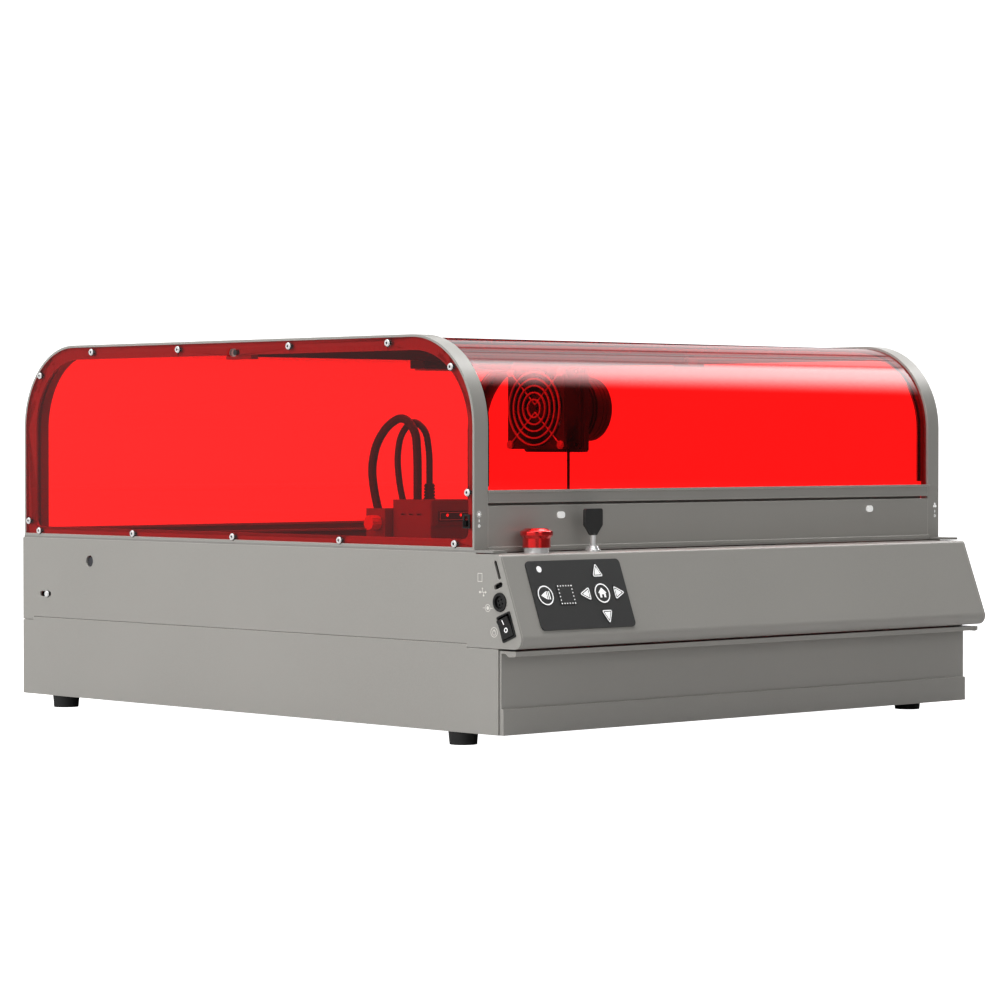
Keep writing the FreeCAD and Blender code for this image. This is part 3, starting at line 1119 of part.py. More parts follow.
# ---------------------------------------------------------------- assembly
def build_all():
    parts = {
        "lower_shell": lower_shell(), "feet": feet(), "slide_rails": slide_rails(),
        "console_shell": console_shell(), "upper_left_panel": upper_left_panel(),
        "upper_right_panel": upper_side(1), "rear_panel": rear_panel(), "deck_frame": deck_frame(),
        "front_panel": front_panel(), "snap_rivets": snap_rivets(), "left_arch": left_arch(),
        "right_arch": mirrored(left_arch()), "left_window": window_plate(-1),
        "right_window": window_plate(1), "window_screws": window_screws(), "arch_seals": arch_seals(),
        "rear_cover": rear_cover(), "cross_beam": cross_beam(), "lamp_housing": lamp(),
        "lamp_lens": lamp_lens(), "lid_cover": lid_cover(), "lid_handle": lid_handle(),
        "lid_hinge_bar": lid_hinge_bar(), "fan_frame": fan_frame(), "fan_rotor": fan_rotor(),
        "fan_guard": fan_guard(), "duct_collar": duct_collar(), "fan_cable": fan_cable(),
        "y_rails": y_rails(), "y_motor": y_motor(), "x_beam": x_beam(), "gantry_ends": gantry_ends(),
        "x_motor": x_motor(), "carriage": carriage(), "module_bracket": module_bracket(),
        "laser_module": laser_module(), "module_label": module_label(),
        "module_cables": module_cables(), "focus_knob": focus_knob(),
        "drawer_front": drawer_front(), "drawer_tray": drawer_tray(),
        "drawer_runners": drawer_runners(), "slat_bed": slat_bed(), "estop_collar": estop_collar(),
        "estop_head": estop_head(), "key_barrel": key_barrel(), "key": key(),
        "keypad_panel": keypad_panel(), "keypad_board": keypad_board(),
        "port_sockets": port_sockets(), "power_rocker": power_rocker(),
        "light_slider": slider_knob(-1), "fan_slider": slider_knob(1)}
    for name in KEYS:
        parts[name] = pad_key(name)
    return parts


def overall_box(parts):
    whole = FreeCAD.BoundBox()
    for shape in parts.values():
        whole.add(shape.optimalBoundingBox())
    return whole


def export_all(parts):
    whole = overall_box(parts)
    shift = Vector(-(whole.XMin + whole.XMax) / 2, -(whole.YMin + whole.YMax) / 2, -whole.ZMin)
    os.makedirs("parts", exist_ok=True)
    for name, shape in parts.items():
        moved = shape.copy()
        moved.translate(shift)
        moved.exportStep("parts/" + name + ".step")
    print("parts", len(parts), "shift", shift, "size", whole.XLength, whole.YLength, whole.ZLength)


export_all(build_all())
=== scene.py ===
import math

import bmesh
import bpy
from mathutils import Matrix, Vector
from mathutils.bvhtree import BVHTree


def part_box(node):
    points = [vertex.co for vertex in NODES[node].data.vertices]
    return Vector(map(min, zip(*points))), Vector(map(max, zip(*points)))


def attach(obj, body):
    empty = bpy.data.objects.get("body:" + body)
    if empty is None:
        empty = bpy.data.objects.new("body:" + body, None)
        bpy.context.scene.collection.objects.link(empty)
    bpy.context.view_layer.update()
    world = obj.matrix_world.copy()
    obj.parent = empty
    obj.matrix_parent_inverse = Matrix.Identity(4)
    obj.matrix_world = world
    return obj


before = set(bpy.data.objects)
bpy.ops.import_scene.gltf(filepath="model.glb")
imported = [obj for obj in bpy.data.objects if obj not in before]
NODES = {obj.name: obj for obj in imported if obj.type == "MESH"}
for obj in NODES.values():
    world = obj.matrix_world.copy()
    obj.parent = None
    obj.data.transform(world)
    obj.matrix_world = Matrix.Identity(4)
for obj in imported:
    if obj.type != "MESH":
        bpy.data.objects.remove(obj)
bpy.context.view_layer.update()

MM = 0.001

# ---------------------------------------------------------------- camera
# Long lens at the left front, level with the middle of the hood.
# Only the viewing angle and the framing are set here.
camera_data = bpy.data.cameras.new("camera")
camera_data.lens = 125.56
camera_data.sensor_width = 36.0
camera_data.clip_start = 0.05
camera_data.clip_end = 60.0
camera = bpy.data.objects.new("camera", camera_data)
bpy.context.scene.collection.objects.link(camera)
camera.location = (-2.13585, -2.28284, 0.2392)
camera.rotation_euler = (math.radians(90 - 0.973), 0, -math.radians(42.908))
bpy.context.scene.camera = camera


# ---------------------------------------------------------------- case sheets and arches
# Folded 2 mm steel sheets, screwed together from inside, with a warm grey powder coat.
# The coat is satin with an orange-peel grain, and a painted highlight makes it lighter along the folds and
# edges.
def linear(text, factor=1.0):
    """Linear RGBA from a hex colour as it looks on a screen, made lighter or darker by factor."""
    out = []
    for start in (0, 2, 4):
        value = int(text[start:start + 2], 16) / 255
        value = value / 12.92 if value <= 0.04045 else ((value + 0.055) / 1.055) ** 2.4
        out.append(min(1.0, value * factor))
    return (*out, 1.0)


def add(tree, kind, inputs=None, **settings):
    """One node. Each input is a value or the socket that feeds it."""
    node = tree.nodes.new(kind)
    for name, value in settings.items():
        setattr(node, name, value)
    for name, value in (inputs or {}).items():
        if isinstance(value, bpy.types.NodeSocket):
            tree.links.new(value, node.inputs[name])
        else:
            node.inputs[name].default_value = value
    return node


def new_material(name):
    material = bpy.data.materials.new(name)
    material.use_nodes = True
    material.node_tree.nodes.clear()
    return material, material.node_tree


CLOUD_MM = 110       # size of the broad, faint patches that every solid finish has


def solid_finish(name, colour, rough, grain_mm, depth_mm, edge_mm, mottle=0.05, painted_edge_light=1.25,
                 metallic=0.0, stretch=(1, 1, 1), shine=0.45):
    """Opaque surface. grain_mm and depth_mm are the size and height of its grain, and stretch draws the
    grain out into brush lines. Edges are rounded by edge_mm, and along them painted_edge_light paints a
    highlight, or a shade where it is below 1."""
    material, tree = new_material(name)
    place = add(tree, "ShaderNodeTexCoord").outputs["Object"]
    drawn = add(tree, "ShaderNodeMapping", {"Vector": place, "Scale": stretch}).outputs[0]
    grain = add(tree, "ShaderNodeTexNoise", {"Vector": drawn, "Scale": 1 / (grain_mm * MM), "Detail": 3.0,
                                             "Roughness": 0.6}).outputs[0]
    cloud = add(tree, "ShaderNodeTexNoise", {"Vector": place, "Scale": 1 / (CLOUD_MM * MM),
                                             "Detail": 3.0}).outputs[0]
    soft = add(tree, "ShaderNodeBevel", {"Radius": edge_mm * MM}, samples=4).outputs[0]
    hard = add(tree, "ShaderNodeNewGeometry").outputs["Normal"]
    turn = add(tree, "ShaderNodeVectorMath", {0: soft, 1: hard}, operation="DOT_PRODUCT").outputs["Value"]
    edges = add(tree, "ShaderNodeMapRange", {0: turn, 1: 0.995, 2: 0.86, 4: 0.7}).outputs[0]
    broad = add(tree, "ShaderNodeMapRange", {0: cloud, 1: 0.3, 2: 0.7}).outputs[0]
    speck = add(tree, "ShaderNodeMapRange", {0: grain, 1: 0.35, 2: 0.68}).outputs[0]
    tone = add(tree, "ShaderNodeMix", {0: broad, 6: linear(colour, 1 - mottle * 0.6),
                                       7: linear(colour, 1 + mottle * 0.6)}, data_type="RGBA").outputs[2]
    tone = add(tree, "ShaderNodeMix", {0: speck, 6: tone, 7: linear(colour, 1 + mottle)},
               data_type="RGBA").outputs[2]
    # Painted highlight along the edges, or painted shade where the edge factor is below 1.
    tone = add(tree, "ShaderNodeMix", {0: edges, 6: tone, 7: linear(colour, painted_edge_light)},
               data_type="RGBA").outputs[2]
    spread = add(tree, "ShaderNodeMapRange", {0: grain, 3: rough * 0.88, 4: rough * 1.15}).outputs[0]
    normal = add(tree, "ShaderNodeBump", {"Height": grain, "Distance": depth_mm * MM,
                                          "Normal": soft}).outputs[0]
    shader = add(tree, "ShaderNodeBsdfPrincipled", {"Base Color": tone, "Roughness": spread,
                                                    "Metallic": metallic, "Specular IOR Level": shine,
                                                    "Normal": normal})
    add(tree, "ShaderNodeOutputMaterial", {"Surface": shader.outputs[0]})
    return material


def dress(material, *names):
    """Gives CAD nodes their finish."""
    for name in names:
        data = NODES[name].data
        data.materials.clear()
        data.materials.append(material)


powder_coat = solid_finish("grey_powder_coat_on_steel", "A19F9A", rough=0.3, grain_mm=0.9,
                           depth_mm=0.02, edge_mm=0.8, painted_edge_light=2.1)
dress(powder_coat, "lower_shell", "console_shell", "upper_left_panel", "upper_right_panel", "rear_panel",
      "front_panel", "left_arch", "right_arch", "lid_handle", "drawer_front")
deck_coat = solid_finish("grey_powder_coat_inside", "8F8D89", rough=0.55, grain_mm=0.9,
                         depth_mm=0.04, edge_mm=0.7)
dress(deck_coat, "deck_frame")

# ---------------------------------------------------------------- feet
# Four turned feet of filled rubber, each held by a screw from below.
# Dull and dark grey, with a painted highlight along the rim.
rubber = solid_finish("natural_rubber_black", "232323", rough=0.72, grain_mm=1.6,
                      depth_mm=0.06, edge_mm=0.8, mottle=0.2, painted_edge_light=1.8)
dress(rubber, "feet")

# ---------------------------------------------------------------- drawer, slides and slat bed
# Tray and slides are folded from bright zinc-coated sheet, rolled lengthways, and stay unpainted inside.
# The slats that carry the work are steel strips with a thin black coat, with a painted highlight along
# their edges.
zinc_sheet = solid_finish("rolled_zinc_sheet", "B4B4B1", rough=0.32, grain_mm=4.5,
                          depth_mm=0.01, edge_mm=0.3, mottle=0.12, painted_edge_light=1.35, metallic=1.0,
                          stretch=(1, 12, 12))
dress(zinc_sheet, "slide_rails", "drawer_runners", "drawer_tray")
slat_coat = solid_finish("thin_black_coat_on_steel", "2A2A2A", rough=0.4, grain_mm=2.0,
                         depth_mm=0.02, edge_mm=0.3, mottle=0.25, painted_edge_light=2.0)
dress(slat_coat, "slat_bed")

# ---------------------------------------------------------------- hood
# Cast acrylic sheet, dyed red through, 3 mm thick: the lid and rear cover are bent, the end windows flat.
# Light passes straight through and is tinted at each face, under a hard clear gloss with a faint dust.
ACRYLIC_INDEX = 1.49
acrylic, tree = new_material("cast_acrylic_red")
place = add(tree, "ShaderNodeTexCoord").outputs["Object"]
back = add(tree, "ShaderNodeNewGeometry").outputs["Backfacing"]
index = add(tree, "ShaderNodeMapRange", {0: back, 3: ACRYLIC_INDEX, 4: 1 / ACRYLIC_INDEX}).outputs[0]
fresnel = add(tree, "ShaderNodeFresnel", {"IOR": index}).outputs[0]
specks = add(tree, "ShaderNodeTexNoise", {"Vector": place, "Scale": 1 / (0.7 * MM),
                                          "Roughness": 0.7}).outputs[0]
dust = add(tree, "ShaderNodeMapRange", {0: specks, 1: 0.72, 2: 0.9, 4: 0.012}).outputs[0]
clear = add(tree, "ShaderNodeBsdfTransparent", {"Color": (1.0, 0.28, 0.28, 1.0)}).outputs[0]
dull = add(tree, "ShaderNodeBsdfDiffuse", {"Color": linear("8A0F10")}).outputs[0]
sheet = add(tree, "ShaderNodeMixShader", {0: dust, 1: clear, 2: dull}).outputs[0]
gloss = add(tree, "ShaderNodeBsdfGlossy", {"Color": (1, 1, 1, 1), "Roughness": 0.03}).outputs[0]
coated = add(tree, "ShaderNodeMixShader", {0: fresnel, 1: sheet, 2: gloss}).outputs[0]
add(tree, "ShaderNodeOutputMaterial", {"Surface": coated})
dress(acrylic, "lid_cover", "rear_cover", "left_window", "right_window")
hinge_coat = solid_finish("black_anodised_hinge_bar", "2C2C2C", rough=0.42, grain_mm=1.1,
                          depth_mm=0.03, edge_mm=0.5, mottle=0.1, painted_edge_light=2.0)
dress(hinge_coat, "lid_hinge_bar")

# ---------------------------------------------------------------- arch seals
# Extruded EPDM strips glued on the arches' ledges, with two lips and a groove between them.
# The strips are black, and a band along their outer side is painted in the dull red light of the acrylic
# sheet that lies on it.
RED_BAND_WIDTH = 3.3 * MM       # width of the outer band painted in red light
RED_BAND_BLEND = 0.3 * MM
seal_low, seal_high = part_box("arch_seals")
seal_mid = (seal_low.x + seal_high.x) / 2
seal_edge = (seal_high.x - seal_low.x) / 2
seal, tree = new_material("epdm_lip_seal")
place = add(tree, "ShaderNodeTexCoord").outputs["Object"]
across = add(tree, "ShaderNodeSeparateXYZ", {0: place}).outputs[0]
centred = add(tree, "ShaderNodeMath", {0: across, 1: seal_mid}, operation="SUBTRACT").outputs[0]
reach = add(tree, "ShaderNodeMath", {0: centred}, operation="ABSOLUTE").outputs[0]
painted_red_band = add(tree, "ShaderNodeMapRange", {0: reach, 1: seal_edge - RED_BAND_WIDTH,
                                          2: seal_edge - RED_BAND_WIDTH + RED_BAND_BLEND}).outputs[0]
pores = add(tree, "ShaderNodeTexNoise", {"Vector": place, "Scale": 1 / (0.6 * MM),
                                         "Detail": 2.0}).outputs[0]
# Painted red light on the outer band of each seal, the seal's own black elsewhere.
tone = add(tree, "ShaderNodeMix", {0: painted_red_band, 6: linear("161616"), 7: linear("8C4444")},
           data_type="RGBA").outputs[2]
normal = add(tree, "ShaderNodeBump", {"Height": pores, "Distance": 0.08 * MM}).outputs[0]
shader = add(tree, "ShaderNodeBsdfPrincipled", {"Base Color": tone, "Roughness": 0.75, "Normal": normal})
add(tree, "ShaderNodeOutputMaterial", {"Surface": shader.outputs[0]})
dress(seal, "arch_seals")

# ---------------------------------------------------------------- window screws
# M3 pan-head screws with a hex socket, nickel plated, that clamp the end windows to the arches.
# The nickel is bright but soft, so it shows pale rather than as a mirror; each socket and the skirt under
# each head are painted dark as shade.
PAINTED_SHADE_DEPTH = 0.8 * MM
PAINTED_SHADE_BLEND = 0.1 * MM
screw_low, screw_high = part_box("window_screws")
screw_mid = (screw_low.x + screw_high.x) / 2
painted_shade_from = (screw_high.x - screw_low.x) / 2 - PAINTED_SHADE_DEPTH
nickel, tree = new_material("nickel_plated_screws")
place = add(tree, "ShaderNodeTexCoord").outputs["Object"]
across = add(tree, "ShaderNodeSeparateXYZ", {0: place}).outputs[0]
centred = add(tree, "ShaderNodeMath", {0: across, 1: screw_mid}, operation="SUBTRACT").outputs[0]
reach = add(tree, "ShaderNodeMath", {0: centred}, operation="ABSOLUTE").outputs[0]
# Painted shade: the head is dark deeper than 0.8 mm below its face, in the socket and on the skirt under
# it.
clear_of_painted_shade = add(tree, "ShaderNodeMapRange", {0: reach, 1: painted_shade_from - PAINTED_SHADE_BLEND, 2: painted_shade_from}).outputs[0]
scuffs = add(tree, "ShaderNodeTexNoise", {"Vector": place, "Scale": 1 / (0.8 * MM),
                                          "Detail": 3.0}).outputs[0]
bright = add(tree, "ShaderNodeMapRange", {0: scuffs, 3: 0.85, 4: 1.0}).outputs[0]
level = add(tree, "ShaderNodeMath", {0: bright, 1: clear_of_painted_shade}, operation="MULTIPLY").outputs[0]
tone = add(tree, "ShaderNodeMix", {0: level, 6: linear("303030"), 7: linear("FFFFFF")},
           data_type="RGBA").outputs[2]
soft = add(tree, "ShaderNodeBevel", {"Radius": 0.5 * MM}, samples=4).outputs[0]
normal = add(tree, "ShaderNodeBump", {"Height": scuffs, "Distance": 0.005 * MM, "Normal": soft}).outputs[0]
shader = add(tree, "ShaderNodeBsdfPrincipled", {"Base Color": tone, "Roughness": 0.2, "Metallic": 0.25,
                                                "Normal": normal})
add(tree, "ShaderNodeOutputMaterial", {"Surface": shader.outputs[0]})
dress(nickel, "window_screws")

# ---------------------------------------------------------------- cross beam and lamp
# Square steel tube with clear zinc plating that ties the arches, and a lamp strip in a black housing.
# The plating is pale with a faint bloom; the diffuser is opal polycarbonate.
zinc_plate = solid_finish("clear_zinc_plating", "E6E6E6", rough=0.35, grain_mm=1.7,
                          depth_mm=0.01, edge_mm=0.2, mottle=0.12, painted_edge_light=1.3, metallic=0.35)
dress(zinc_plate, "cross_beam")
moulding = solid_finish("moulded_abs_black", "2B2B2B", rough=0.42, grain_mm=1.1,
                        depth_mm=0.03, edge_mm=0.5, mottle=0.12, painted_edge_light=2.2)
dress(moulding, "lamp_housing")
opal = solid_finish("opal_polycarbonate", "F2F0E6", rough=0.35, grain_mm=2.5, depth_mm=0.02, edge_mm=0.4)
dress(opal, "lamp_lens")

# ---------------------------------------------------------------- rails, gantry and motors
# Extruded aluminium rails and beam, sandblasted and anodised, between die-cast blocks and square motors.
# The anodising keeps fine draw lines along each profile; the castings are duller.
anodised = solid_finish("black_anodised_aluminium", "3A3A3E", rough=0.42, grain_mm=3.8,
                        depth_mm=0.01, edge_mm=0.3, mottle=0.12, painted_edge_light=1.5, metallic=0.6,
                        stretch=(1, 14, 14))
dress(anodised, "x_beam")
rail_grey = solid_finish("grey_anodised_aluminium", "48484C", rough=0.42, grain_mm=3.8,
                         depth_mm=0.01, edge_mm=0.3, mottle=0.12, painted_edge_light=1.3, metallic=0.3,
                         stretch=(14, 1, 14))
dress(rail_grey, "y_rails")
casting = solid_finish("die_cast_aluminium_painted_black", "3C3C3E", rough=0.45, grain_mm=1.2,
                       depth_mm=0.04, edge_mm=0.5, mottle=0.1, painted_edge_light=1.8)
dress(casting, "y_motor", "gantry_ends", "x_motor", "carriage")

# ---------------------------------------------------------------- laser module
# Folded aluminium housing on a bracket, with a red focus knob at its side and a bare label plate in front.
# The housing is a satin grey; two red indicator lamps shine through the plate.
housing = solid_finish("satin_grey_aluminium_housing", "8C8C90", rough=0.5, grain_mm=1.2,
                       depth_mm=0.03, edge_mm=0.5, mottle=0.08, painted_edge_light=1.5)
dress(housing, "laser_module", "module_bracket")
plate = solid_finish("printed_label_plate", "303032", rough=0.4, grain_mm=1.4, depth_mm=0.01,
                     edge_mm=0.3)
dress(plate, "module_label")
red_knob = solid_finish("red_anodised_knob", "FF4A3C", rough=0.35, grain_mm=1.0, depth_mm=0.01,
                        edge_mm=0.3, painted_edge_light=1.3)
dress(red_knob, "focus_knob")
jacket = solid_finish("pvc_cable_jacket", "2E2E2E", rough=0.45, grain_mm=2.0, depth_mm=0.03,
                      edge_mm=0.3, mottle=0.15, painted_edge_light=1.5)
dress(jacket, "module_cables", "fan_cable")

INK_MM = 0.08        # thickness of screen-printed ink
LIFT = 0.02 * MM     # prints stand this far off the face that carries them


def ink(name, colour, glow):
    """Screen-printed ink, slightly uneven. glow is the light it gives off: a lamp's where one lies behind
    it, painted light elsewhere.
    """
    material, tree = new_material(name)
    place = add(tree, "ShaderNodeTexCoord").outputs["Object"]
    mesh = add(tree, "ShaderNodeTexNoise", {"Vector": place, "Scale": 1 / (0.4 * MM)}).outputs[0]
    cover = add(tree, "ShaderNodeMapRange", {0: mesh, 1: 0.3, 2: 0.7}).outputs[0]
    tone = add(tree, "ShaderNodeMix", {0: cover, 6: linear(colour, 0.92), 7: linear(colour)},
               data_type="RGBA").outputs[2]
    normal = add(tree, "ShaderNodeBump", {"Height": mesh, "Distance": 0.01 * MM}).outputs[0]
    shader = add(tree, "ShaderNodeBsdfPrincipled", {"Base Color": tone, "Roughness": 0.5,
                                                    "Normal": normal, "Emission Color": linear(colour),
                                                    "Emission Strength": glow})
    add(tree, "ShaderNodeOutputMaterial", {"Surface": shader.outputs[0]})
    return material


def facing(origin, across, out):
    """Place on a surface: X runs along across and Z points out. Shapes on it are drawn in millimetres."""
    out = Vector(out).normalized()
    across = Vector(across).normalized()
    turned = Matrix((across, out.cross(across), out)).transposed().to_4x4()
    return Matrix.Translation(origin) @ turned @ Matrix.Scale(MM, 4)


def disc(bm, radius, x=0.0, y=0.0, sides=32, stretch=(1, 1), turn=0.0):
    """Round or, with few sides, pointed shape, whose first corner is up before it is turned."""
    matrix = (Matrix.Translation((x, y, 0)) @ Matrix.Rotation(math.radians(turn), 4, "Z")
              @ Matrix.Diagonal((*stretch, 1, 1)))
    made = bmesh.ops.create_circle(bm, cap_ends=True, segments=sides, radius=radius, matrix=matrix)
    return made["verts"][0].link_faces[0]


def outline(bm, face, width):
    """Leaves only a line of this width along the edge of a face."""
    bmesh.ops.inset_region(bm, faces=[face], thickness=width, use_boundary=True, use_even_offset=True)
    bmesh.ops.delete(bm, geom=[face], context="FACES_ONLY")


def bar(bm, x0, x1, y0, y1, turn=0.0, about=(0, 0)):
    """Rectangle between these limits, turned round the point that about gives and moved there."""
    matrix = (Matrix.Translation((*about, 0)) @ Matrix.Rotation(math.radians(turn), 4, "Z")
              @ Matrix.Translation(((x0 + x1) / 2, (y0 + y1) / 2, 0))
              @ Matrix.Diagonal((x1 - x0, y1 - y0, 1, 1)))
    made = bmesh.ops.create_grid(bm, x_segments=1, y_segments=1, size=0.5, matrix=matrix)
    return made["verts"][0].link_faces[0]


def printed(name, draw, place, material, body):
    """Thin print: draw adds flat shapes to a bmesh, which get the ink's thickness and go to their place."""
    bm = bmesh.new()
    draw(bm)
    raised = bmesh.ops.extrude_face_region(bm, geom=bm.faces[:])["geom"]
    bmesh.ops.translate(bm, verts=[v for v in raised if isinstance(v, bmesh.types.BMVert)],
                        vec=(0, 0, INK_MM))
    bmesh.ops.recalc_face_normals(bm, faces=bm.faces[:])
    bm.transform(place)
    mesh = bpy.data.meshes.new(name)
    bm.to_mesh(mesh)
    bm.free()
    piece = bpy.data.objects.new(name, mesh)
    bpy.context.scene.collection.objects.link(piece)
    mesh.materials.append(material)
    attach(piece, body)
    return piece


FORWARDS = (0, -1, 0)
FACE_LIFT = Vector(FORWARDS) * LIFT
# The white and grey inks glow a little as painted light; no lamp lies behind them.
white_ink = ink("white_ink", "FFFFFF", 0.35)
grey_ink = ink("grey_ink", "E2E0DA", 0.1)
lamp_red = ink("red_indicator_lamp", "FF3A2A", 1.6)
label_low, label_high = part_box("module_label")
module_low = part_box("laser_module")[0]
label_mid = (label_low + label_high) / 2
LAMPS_FROM_LEFT = (17.2 * MM, 31.8 * MM)
LAMP_RADIUS = 1.15
LAMP_UP = 0.8 * MM
for number, from_left in enumerate(LAMPS_FROM_LEFT):
    spot = Vector((module_low.x + from_left, label_low.y, label_mid.z + LAMP_UP)) + FACE_LIFT
    printed("module_light_" + str(number + 1), lambda bm: disc(bm, LAMP_RADIUS, sides=16),
            facing(spot, (1, 0, 0), FORWARDS), lamp_red, "module")
LABEL_MARGIN = 1.1
BORDER_WIDTH = 0.35
label_w = (label_high.x - label_low.x) / MM / 2 - LABEL_MARGIN
label_h = (label_high.z - label_low.z) / MM / 2 - LABEL_MARGIN
spot = Vector((label_mid.x, label_low.y, label_mid.z)) + FACE_LIFT
printed("module_label_border",
        lambda bm: outline(bm, bar(bm, -label_w, label_w, -label_h, label_h), BORDER_WIDTH),
        facing(spot, (1, 0, 0), FORWARDS), grey_ink, "module")

# ---------------------------------------------------------------- snap rivets
# Two moulded nylon rivets that snap into the fascia and close its fixing holes.
# Natural nylon is milky; a painted glow makes it look lighter than the paint round it.
nylon = ink("natural_nylon", "F2F2F0", 0.32)
dress(nylon, "snap_rivets")

# ---------------------------------------------------------------- exhaust fan and hose collar
# 80 mm axial fan of glass-filled nylon behind a wire guard, screwed to the adapter of the hose collar.
# The nylon is a dull charcoal; the guard is wire plated white zinc, and the hose clamp's wire is black.
fan_nylon = solid_finish("glass_filled_nylon_charcoal", "444444", rough=0.5, grain_mm=1.0,
                         depth_mm=0.03, edge_mm=0.5, mottle=0.12, painted_edge_light=1.8)
dress(fan_nylon, "fan_frame", "fan_rotor", "duct_collar")
dress(zinc_plate, "fan_guard")

duct_low, duct_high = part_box("duct_collar")
ADAPTER_OVER = 3 * MM     # the adapter plate reaches this much further down than up from the axis
COLLAR_R = 32 * MM
WIRE_R = 1.0 * MM
WRAP = 344                # degrees of the collar that the wire goes round
EAR_AT = 38               # degrees from the top of the collar, towards the front
EAR_STEPS = 6
EAR_STEP_TURN = 15        # degrees that the ear bends outwards at each step
clamp_r = COLLAR_R + WIRE_R * 1.1
duct_axis = Vector((0, (duct_low.y + duct_high.y) / 2, (duct_low.z + duct_high.z + ADAPTER_OVER) / 2))


def clamp_wire(name, x, lean):
    """One turn of wire round the collar. Its end bends out into an ear that leans along X by lean."""
    axis = duct_axis + Vector((x, 0, 0))
    bm = bmesh.new()
    start = Matrix.Translation(axis + Vector((0, 0, clamp_r))) @ Matrix.Rotation(math.pi / 2, 4, "X")
    bmesh.ops.create_circle(bm, cap_ends=True, segments=12, radius=WIRE_R, matrix=start)
    made = bmesh.ops.spin(bm, geom=bm.faces[:], cent=axis, axis=(1, 0, 0), angle=math.radians(WRAP),
                          steps=60)
    for step in range(EAR_STEPS):
        tip = [face for face in made["geom_last"] if isinstance(face, bmesh.types.BMFace)]
        grown = bmesh.ops.extrude_face_region(bm, geom=tip)["geom"]
        bmesh.ops.delete(bm, geom=tip, context="FACES_ONLY")
        made = {"geom_last": grown}
        moved = [v for v in grown if isinstance(v, bmesh.types.BMVert)]
        rise = math.sin(math.radians(EAR_STEP_TURN * (step + 1)))
        bmesh.ops.translate(bm, verts=moved, vec=(lean, -1.2 * MM * (1 - rise), 1.7 * MM * rise))
    bmesh.ops.rotate(bm, cent=axis, matrix=Matrix.Rotation(math.radians(EAR_AT), 3, "X"),
                     verts=bm.verts[:])
    bmesh.ops.recalc_face_normals(bm, faces=bm.faces[:])
    mesh = bpy.data.meshes.new(name)
    bm.to_mesh(mesh)
    bm.free()
    piece = bpy.data.objects.new(name, mesh)
    bpy.context.scene.collection.objects.link(piece)
    mesh.materials.append(slat_coat)
    mesh.shade_smooth()
    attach(piece, "case")


clamp_x = duct_high.x - 26 * MM
clamp_wire("hose_clamp_wire_1", clamp_x, 0.9 * MM)
clamp_wire("hose_clamp_wire_2", clamp_x + 4.5 * MM, 1.5 * MM)

# ---------------------------------------------------------------- emergency stop
# Turned aluminium mushroom head, polished and red anodised under a clear lacquer, over a bright collar.
# The dye sparkles a little and the lacquer gives hard highlights.
lacquer, tree = new_material("red_lacquered_aluminium")
place = add(tree, "ShaderNodeTexCoord").outputs["Object"]
flake = add(tree, "ShaderNodeTexNoise", {"Vector": place, "Scale": 1 / (0.3 * MM),
                                         "Detail": 1.0}).outputs[0]
sparkle = add(tree, "ShaderNodeMapRange", {0: flake, 1: 0.4, 2: 0.7}).outputs[0]
tone = add(tree, "ShaderNodeMix", {0: sparkle, 6: linear("E81A1A"), 7: linear("E81A1A", 1.4)},
           data_type="RGBA").outputs[2]
soft = add(tree, "ShaderNodeBevel", {"Radius": 0.6 * MM}, samples=4).outputs[0]
normal = add(tree, "ShaderNodeBump", {"Height": flake, "Distance": 0.004 * MM, "Normal": soft}).outputs[0]
shader = add(tree, "ShaderNodeBsdfPrincipled", {"Base Color": tone, "Metallic": 0.85, "Roughness": 0.14,
                                                "Coat Weight": 1.0, "Coat Roughness": 0.04,
                                                "Normal": normal})
add(tree, "ShaderNodeOutputMaterial", {"Surface": shader.outputs[0]})
dress(lacquer, "estop_head")
chrome = solid_finish("polished_chrome_plating", "FFFFFF", rough=0.08, grain_mm=0.8, depth_mm=0.002,
                      edge_mm=0.2, painted_edge_light=1.2, metallic=0.55, mottle=0.02)
dress(chrome, "estop_collar")

# ---------------------------------------------------------------- key switch
# Nickel-plated brass key in a plated barrel; its head is covered with a black moulding.
# The covered part is satin black, with a painted highlight along its edges, and the shank below it bright.
COVER_DROP = 21.3 * MM     # from the top of the key down to the end of its cover
key_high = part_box("key")[1]
key_finish, tree = new_material("key_with_moulded_cover")
place = add(tree, "ShaderNodeTexCoord").outputs["Object"]
height = add(tree, "ShaderNodeSeparateXYZ", {0: place}).outputs[2]
cover = add(tree, "ShaderNodeMath", {0: height, 1: key_high.z - COVER_DROP},
            operation="GREATER_THAN").outputs[0]
bare = add(tree, "ShaderNodeMapRange", {0: cover, 3: 0.5, 4: 0.0}).outputs[0]
soft = add(tree, "ShaderNodeBevel", {"Radius": 0.5 * MM}, samples=4).outputs[0]
hard = add(tree, "ShaderNodeNewGeometry").outputs["Normal"]
turn = add(tree, "ShaderNodeVectorMath", {0: soft, 1: hard}, operation="DOT_PRODUCT").outputs["Value"]
